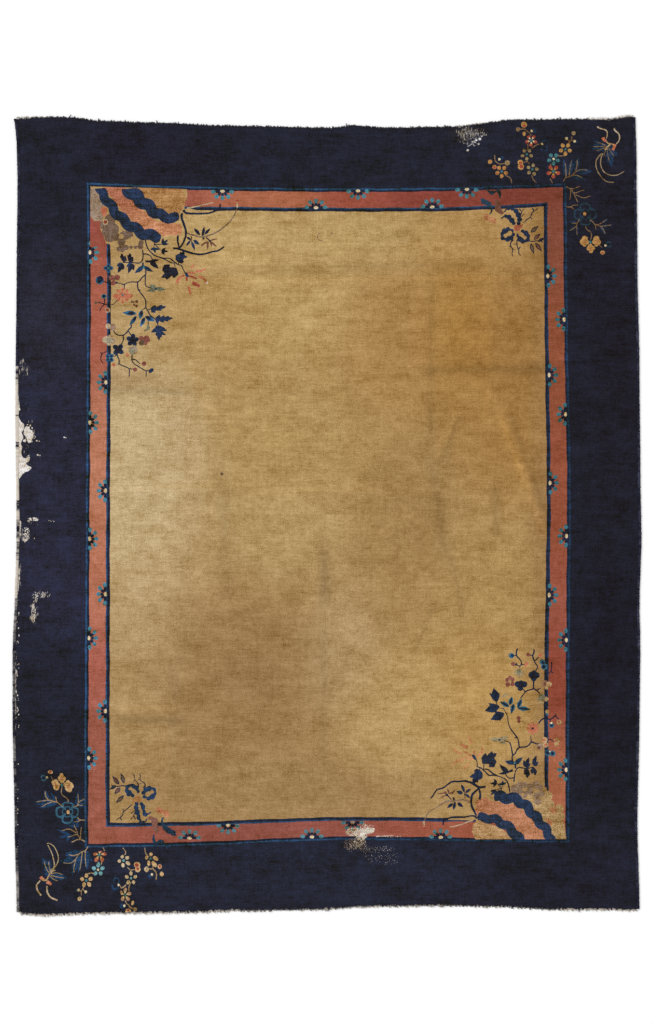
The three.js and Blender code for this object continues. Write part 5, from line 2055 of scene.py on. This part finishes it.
    def tufts(self, yarn: YarnMesh, rng: random.Random) -> None:
        """Add the tufts of pile that lean out over the web.

        Args:
            yarn: The mesh that they go into.
            rng: The source of their irregularity.
        """
        xs, ys = self.edge()
        for place in np.arange(xs[0], xs[-1], self.tuft_step):
            x = float(place) + rng.uniform(-0.5, 0.5) * self.tuft_step
            y = float(np.interp(x, xs, ys))
            if along(self.paleness, x / SQUARE + CHART_MIDDLE[0], 0.0) > rng.uniform(0.55, 1.2):
                continue
            length = self.tuft_length * rng.uniform(0.55, 1.15)
            reach = self.tuft_reach * rng.uniform(0.75, 1.2)
            length *= 1.8 if rng.random() < self.stray_share else 1.0
            lean = rng.gauss(0, 0.35)
            route = [
                Vector((x + math.sin(lean) * length * share,
                        y + self.end * (length * share - self.tuft_root), height))
                for share, height in ((0.0, 0.0042), (0.4, 0.0052), (0.8, 0.0042), (1.0, 0.0028))
            ]
            shade = Yarn.BORDER.value.colours(chart_places(np.array([(x, y)])))[0] * rng.uniform(0.6, 1.5)
            yarn.strand(route, [reach, reach * 1.15, reach * 0.8, reach * 0.3], [shade] * 4, 5)


class NodeChain:
    """Short calls that add and join shader nodes in one material."""

    def __init__(self, name: str) -> None:
        """Start a material with an empty tree.

        Args:
            name: The material's name.
        """
        self.material = bpy.data.materials.new(name)
        self.material.use_nodes = True
        self.tree = self.material.node_tree
        self.tree.nodes.clear()

    def add(self, kind: str, links: dict | None = None, **settings: object) -> Node:
        """Add a node.

        Args:
            kind: The node's type, without its common prefix.
            links: Input name or number to an output socket or a plain value.
            settings: The node's own properties.

        Returns:
            The node.
        """
        node = self.tree.nodes.new("ShaderNode" + kind)
        for key, value in settings.items():
            setattr(node, key, value)
        for key, value in (links or {}).items():
            if isinstance(value, NodeSocket):
                self.tree.links.new(value, node.inputs[key])
            else:
                node.inputs[key].default_value = value
        return node

    def noise(self, place: NodeSocket, scale: tuple[float, float, float], detail: float = 2.0,
              rough: float = 0.5) -> NodeSocket:
        """Add noise whose grains are stretched by a scale for each axis.

        Args:
            place: The coordinates.
            scale: The scale for each axis.
            detail: The number of finer layers.
            rough: The finer layers' strength.

        Returns:
            The noise's value.
        """
        mapped = self.add("Mapping", {"Vector": place, "Scale": scale})
        node = self.add("TexNoise", {"Vector": mapped.outputs["Vector"], "Scale": 1.0, "Detail": detail,
                                     "Roughness": rough})
        return node.outputs["Fac"]

    def math(self, operation: str, first: object, second: object = 0.0) -> NodeSocket:
        """Add one sum on one or two values."""
        return self.add("Math", {0: first, 1: second}, operation=operation).outputs[0]

    def spread(self, value: NodeSocket, low: float, high: float, to_low: float = 0.0,
               to_high: float = 1.0) -> NodeSocket:
        """Spread a range of values over another range, held at its ends.

        Args:
            value: The value.
            low: The low end of its range.
            high: The high end.
            to_low: The value given at the low end.
            to_high: The value given at the high end.

        Returns:
            The spread value.
        """
        node = self.add("MapRange", {"Value": value, "From Min": low, "From Max": high, "To Min": to_low,
                                     "To Max": to_high})
        return node.outputs["Result"]

    def scaled(self, colour: object, share: NodeSocket) -> NodeSocket:
        """Scale a colour by a share."""
        return self.add("VectorMath", {0: colour, "Scale": share}, operation="SCALE").outputs[0]

    def cloth(self, surface: NodeSocket, height: NodeSocket, relief: float,
              roughness: float) -> Material:
        """Close the material with a dull fibre surface.

        Args:
            surface: The colour.
            height: The bump's height, from 0 to 1.
            relief: The bump's depth, in metres.
            roughness: The roughness.

        Returns:
            The material.
        """
        bump = self.add("Bump", {"Height": height, "Strength": 0.55, "Distance": relief}).outputs["Normal"]
        shader = self.add("BsdfPrincipled", {"Base Color": surface, "Roughness": roughness, "Normal": bump,
                                             "Sheen Weight": 0.02, "Sheen Roughness": 0.6,
                                             "Specular IOR Level": 0.04})
        self.add("OutputMaterial", {"Surface": shader.outputs[0]})
        return self.material


@dataclass(frozen=True)
class Grain:
    """One layer of unevenness in the wool: its grains' scales and how far it shifts the shade."""

    scale: tuple[float, float, float]
    shift: float
    detail: float = 3.0


@dataclass(frozen=True)
class WoolPile:
    """Cut wool pile: dyed yarn with streaks along the knot rows, mottling and worn warps."""

    name: str = "Wool_Pile"
    roughness: float = 0.95
    relief: float = 0.0012
    warp_shade: str = "#cfc4b6"
    dark_gain: float = 1.55
    dark_level: float = 0.08
    fading: tuple[float, float, float] = (0.8, 1.0, 1.45)
    grains: tuple[Grain, ...] = (
        Grain((4.0, 60.0, 1.0), 0.13, 4.0),
        Grain((24.0, 130.0, 1.0), 0.20),
        Grain((5.0, 8.0, 1.0), 0.24, 4.0),
        Grain((15.0, 22.0, 1.0), 0.22, 4.0),
        Grain((60.0, 44.0, 1.0), 0.19),
        Grain((130.0, 10.0, 1.0), 0.10),
        Grain((210.0, 210.0, 1.0), 0.40, 1.0),
    )
    thread_scale: tuple[float, float, float] = (230.0, 38.0, 1.0)
    patch_scale: tuple[float, float, float] = (38.0, 30.0, 1.0)

    def make(self) -> Material:
        """Build the finish.

        Returns:
            The material.
        """
        chain = NodeChain(self.name)
        place = chain.add("TexCoord").outputs["Object"]
        # The stored colour holds the yarn's dye and the creases' painted light and shade.
        stored = chain.add("Attribute", attribute_name="yarn")
        yarn, unevenness = stored.outputs["Color"], stored.outputs["Alpha"]
        wear = chain.add("Attribute", attribute_name="wear").outputs["Fac"]
        shift = 0.0
        for grain in self.grains:
            part = chain.noise(place, grain.scale, grain.detail, 0.6)
            part = chain.spread(part, 0.2, 0.8, -grain.shift, grain.shift)
            shift = chain.math("ADD", shift, part)
        light = chain.add("RGBToBW", {"Color": yarn}).outputs[0]
        darkness = chain.spread(light, 0.0, self.dark_level, self.dark_gain, 1.0)
        gain = chain.math("MULTIPLY", unevenness, darkness)
        shade = chain.math("MAXIMUM", chain.math("MULTIPLY", shift, gain), -0.7)
        lifted = [chain.math("ADD", chain.math("MULTIPLY", shade, share), 1.0) for share in self.fading]
        tint = chain.add("CombineXYZ", {0: lifted[0], 1: lifted[1], 2: lifted[2]}).outputs[0]
        dyed = chain.add("VectorMath", {0: yarn, 1: tint}, operation="MULTIPLY").outputs[0]
        threads = chain.noise(place, self.thread_scale, 3.0, 0.7)
        patches = chain.noise(place, self.patch_scale, 3.0, 0.6)
        edge = chain.math("ADD", chain.spread(threads, 0.3, 0.7, -0.34, 0.34),
                          chain.spread(patches, 0.3, 0.7, -0.22, 0.22))
        bare = chain.spread(chain.math("ADD", wear, edge), 0.55, 0.75)
        warps = chain.scaled(tuple(linear(self.warp_shade)), chain.spread(threads, 0.2, 0.8, 0.62, 1.1))
        surface = chain.add("Mix", {0: bare, 6: dyed, 7: warps}, data_type="RGBA").outputs[2]
        height = chain.noise(place, (150.0, 330.0, 1.0))
        return chain.cloth(surface, height, self.relief, self.roughness)


@dataclass(frozen=True)
class KnottedBack:
    """The flat back of the cloth, where the knots' backs show the design on pale warps."""

    name: str = "Knotted_Back"
    roughness: float = 0.95
    relief: float = 0.0006
    warp_shade: str = "#a99a86"

    def make(self) -> Material:
        """Build the finish.

        Returns:
            The material.
        """
        chain = NodeChain(self.name)
        place = chain.add("TexCoord").outputs["Object"]
        # The stored colour holds the yarn's dye and the creases' painted light and shade.
        yarn = chain.add("Attribute", attribute_name="yarn").outputs["Color"]
        ridges = chain.noise(place, (60.0, 340.0, 1.0))
        dyed = chain.scaled(yarn, chain.spread(ridges, 0.25, 0.75, 0.7, 1.15))
        between = chain.spread(chain.noise(place, (320.0, 320.0, 1.0), 1.0), 0.55, 0.75, 0.0, 0.35)
        surface = chain.add("Mix", {0: between, 6: dyed, 7: (*linear(self.warp_shade), 1)},
                            data_type="RGBA").outputs[2]
        return chain.cloth(surface, ridges, self.relief, self.roughness)


@dataclass(frozen=True)
class TwistedYarn:
    """Loose yarn in its own colour, with fine slanting strands."""

    name: str
    roughness: float = 0.9
    relief: float = 0.0003

    def make(self) -> Material:
        """Build the finish.

        Returns:
            The material.
        """
        chain = NodeChain(self.name)
        place = chain.add("TexCoord").outputs["Object"]
        yarn = chain.add("Attribute", attribute_name="yarn").outputs["Color"]
        fibres = chain.noise(place, (900.0, 500.0, 900.0))
        surface = chain.scaled(yarn, chain.spread(fibres, 0.25, 0.75, 0.75, 1.25))
        return chain.cloth(surface, fibres, self.relief, self.roughness)


@dataclass
class Studio:
    """Plain floor, soft light and a camera straight above."""

    lens: float = 100.0
    sensor: float = 36.0
    floor_size: float = 160.0
    floor_drop: float = 0.0004
    floor_shade: float = 0.94
    sky: float = 0.81
    key_strength: float = 1.52
    key_angle: float = 35.0
    key_heading: tuple[float, float, float] = (0.62, -0.5, -0.6)

    def camera(self) -> None:
        """Hang the camera over the picture's middle, at the height that gives the chart's scale."""
        data = bpy.data.cameras.new("Camera")
        data.lens = self.lens
        data.sensor_fit = "VERTICAL"
        data.sensor_height = self.sensor
        data.clip_end = 100
        camera = bpy.data.objects.new("Camera", data)
        x, y = metres(IMAGE_SIZE[0] / 2, IMAGE_SIZE[1] / 2)
        camera.location = (x, y, IMAGE_SIZE[1] * SQUARE * self.lens / self.sensor)
        bpy.context.scene.collection.objects.link(camera)
        bpy.context.scene.camera = camera

    def floor(self) -> None:
        """Lay the pale floor."""
        bpy.ops.mesh.primitive_plane_add(size=self.floor_size, location=(0, 0, -self.floor_drop))
        plane = bpy.context.object
        plane.name = "Floor"
        chain = NodeChain("Pale_Floor")
        shader = chain.add("BsdfPrincipled", {"Base Color": (*[self.floor_shade] * 3, 1), "Roughness": 0.9,
                                              "Specular IOR Level": 0.1})
        chain.add("OutputMaterial", {"Surface": shader.outputs[0]})
        plane.data.materials.append(chain.material)

    def light(self) -> None:
        """Light the carpet evenly from the sky, with a broad soft lamp from the upper left."""
        scene = bpy.context.scene
        scene.view_settings.view_transform = "Standard"
        scene.view_settings.look = "None"
        world = bpy.data.worlds.new("Sky")
        world.use_nodes = True
        background = world.node_tree.nodes["Background"]
        background.inputs["Color"].default_value = (1, 1, 1, 1)
        background.inputs["Strength"].default_value = self.sky
        scene.world = world
        data = bpy.data.lights.new("Key", "SUN")
        data.angle = math.radians(self.key_angle)
        data.energy = self.key_strength
        lamp = bpy.data.objects.new("Key", data)
        lamp.rotation_euler = Vector(self.key_heading).to_track_quat("-Z", "Y").to_euler()
        scene.collection.objects.link(lamp)

    def build(self) -> None:
        """Set up the whole studio."""
        self.camera()
        self.floor()
        self.light()


@dataclass
class Carpet:
    """The whole carpet: its cloth, side cords, worn ends and tufts."""

    base: ClothFrame
    bare_left: tuple[Stretch, ...] = records(
        Stretch,
        (412, 416, 0.6), (442, 450, 0.55), (384, 500, 1), (500, 560, 0.4), (560, 598, 0.95),
        (598, 916, 0.13), (366, 384, 0.3),
    )
    top_lengths: tuple[Stretch, ...] = records(Stretch, (0, 37, 0.01), (586, 652, 0.013))
    top_paleness: tuple[Stretch, ...] = records(
        Stretch,
        (0, 30, 1), (30, 44, 0.5), (455, 484, 0.9), (588, 652, 0.85),
    )
    bottom_lengths: tuple[Stretch, ...] = records(Stretch, (0, 33, 0.008), (596, 652, 0.007))
    bottom_paleness: tuple[Stretch, ...] = records(
        Stretch,
        (0, 170, 1), (170, 240, 0.85), (240, 300, 0.3), (300, 440, 0.7), (440, 560, 0.35), (560, 652, 0.95),
    )

    def declare(self, piece: Object, slot: str, *nodes: str) -> Object:
        """Args:
            piece: The scene's piece.
            slot: Its finish; not used.
            nodes: The solids that it stands for.

        Returns:
            The piece.
        """
        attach(piece, "root")
        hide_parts(*nodes)
        return piece

    def build(self) -> None:
        cloth = Cloth(Design().draw(), self.base).build()
        cloth.data.materials.append(WoolPile().make())
        cloth.data.materials.append(KnottedBack().make())
        self.declare(cloth, "wool_pile", "carpet_cloth")
        cord_wool = TwistedYarn("Cord_Wool").make()
        cotton = TwistedYarn("Loose_Cotton").make()
        ends = (
            WornEnd(1, "end_fringe_top", "Fringe_Top", self.base, self.top_lengths, self.top_paleness,
                    plain_paleness=0.05),
            WornEnd(-1, "end_fringe_bottom", "Fringe_Bottom", self.base, self.bottom_lengths,
                    self.bottom_paleness, web_depth=0.0062, nub_out=0.0055),
        )
        pieces = [
            self.declare(SideCord("side_cord_left", "Cord_Left", self.bare_left).build(cord_wool),
                         "side_cord_wool", "side_cord_left"),
            self.declare(SideCord("side_cord_right", "Cord_Right", seed=6).build(cord_wool),
                         "side_cord_wool", "side_cord_right"),
        ]
        pieces += [self.declare(end.fringe(cotton), "warp_cotton", end.node) for end in ends]
        tufts, rng = YarnMesh(), random.Random(3)
        for end in ends:
            end.tufts(tufts, rng)
        tuft_wool = TwistedYarn("Tuft_Wool").make()
        pieces.append(self.declare(tufts.finish("End_Tufts", tuft_wool), "wool_pile", "carpet_cloth"))


def main() -> None:
    """Build the studio and the carpet's pieces in order."""
    logging.basicConfig(level=logging.INFO, format="%(name)s: %(message)s")
    Studio().build()
    Carpet(ClothFrame()).build()


if __name__ == "__main__":
    main()
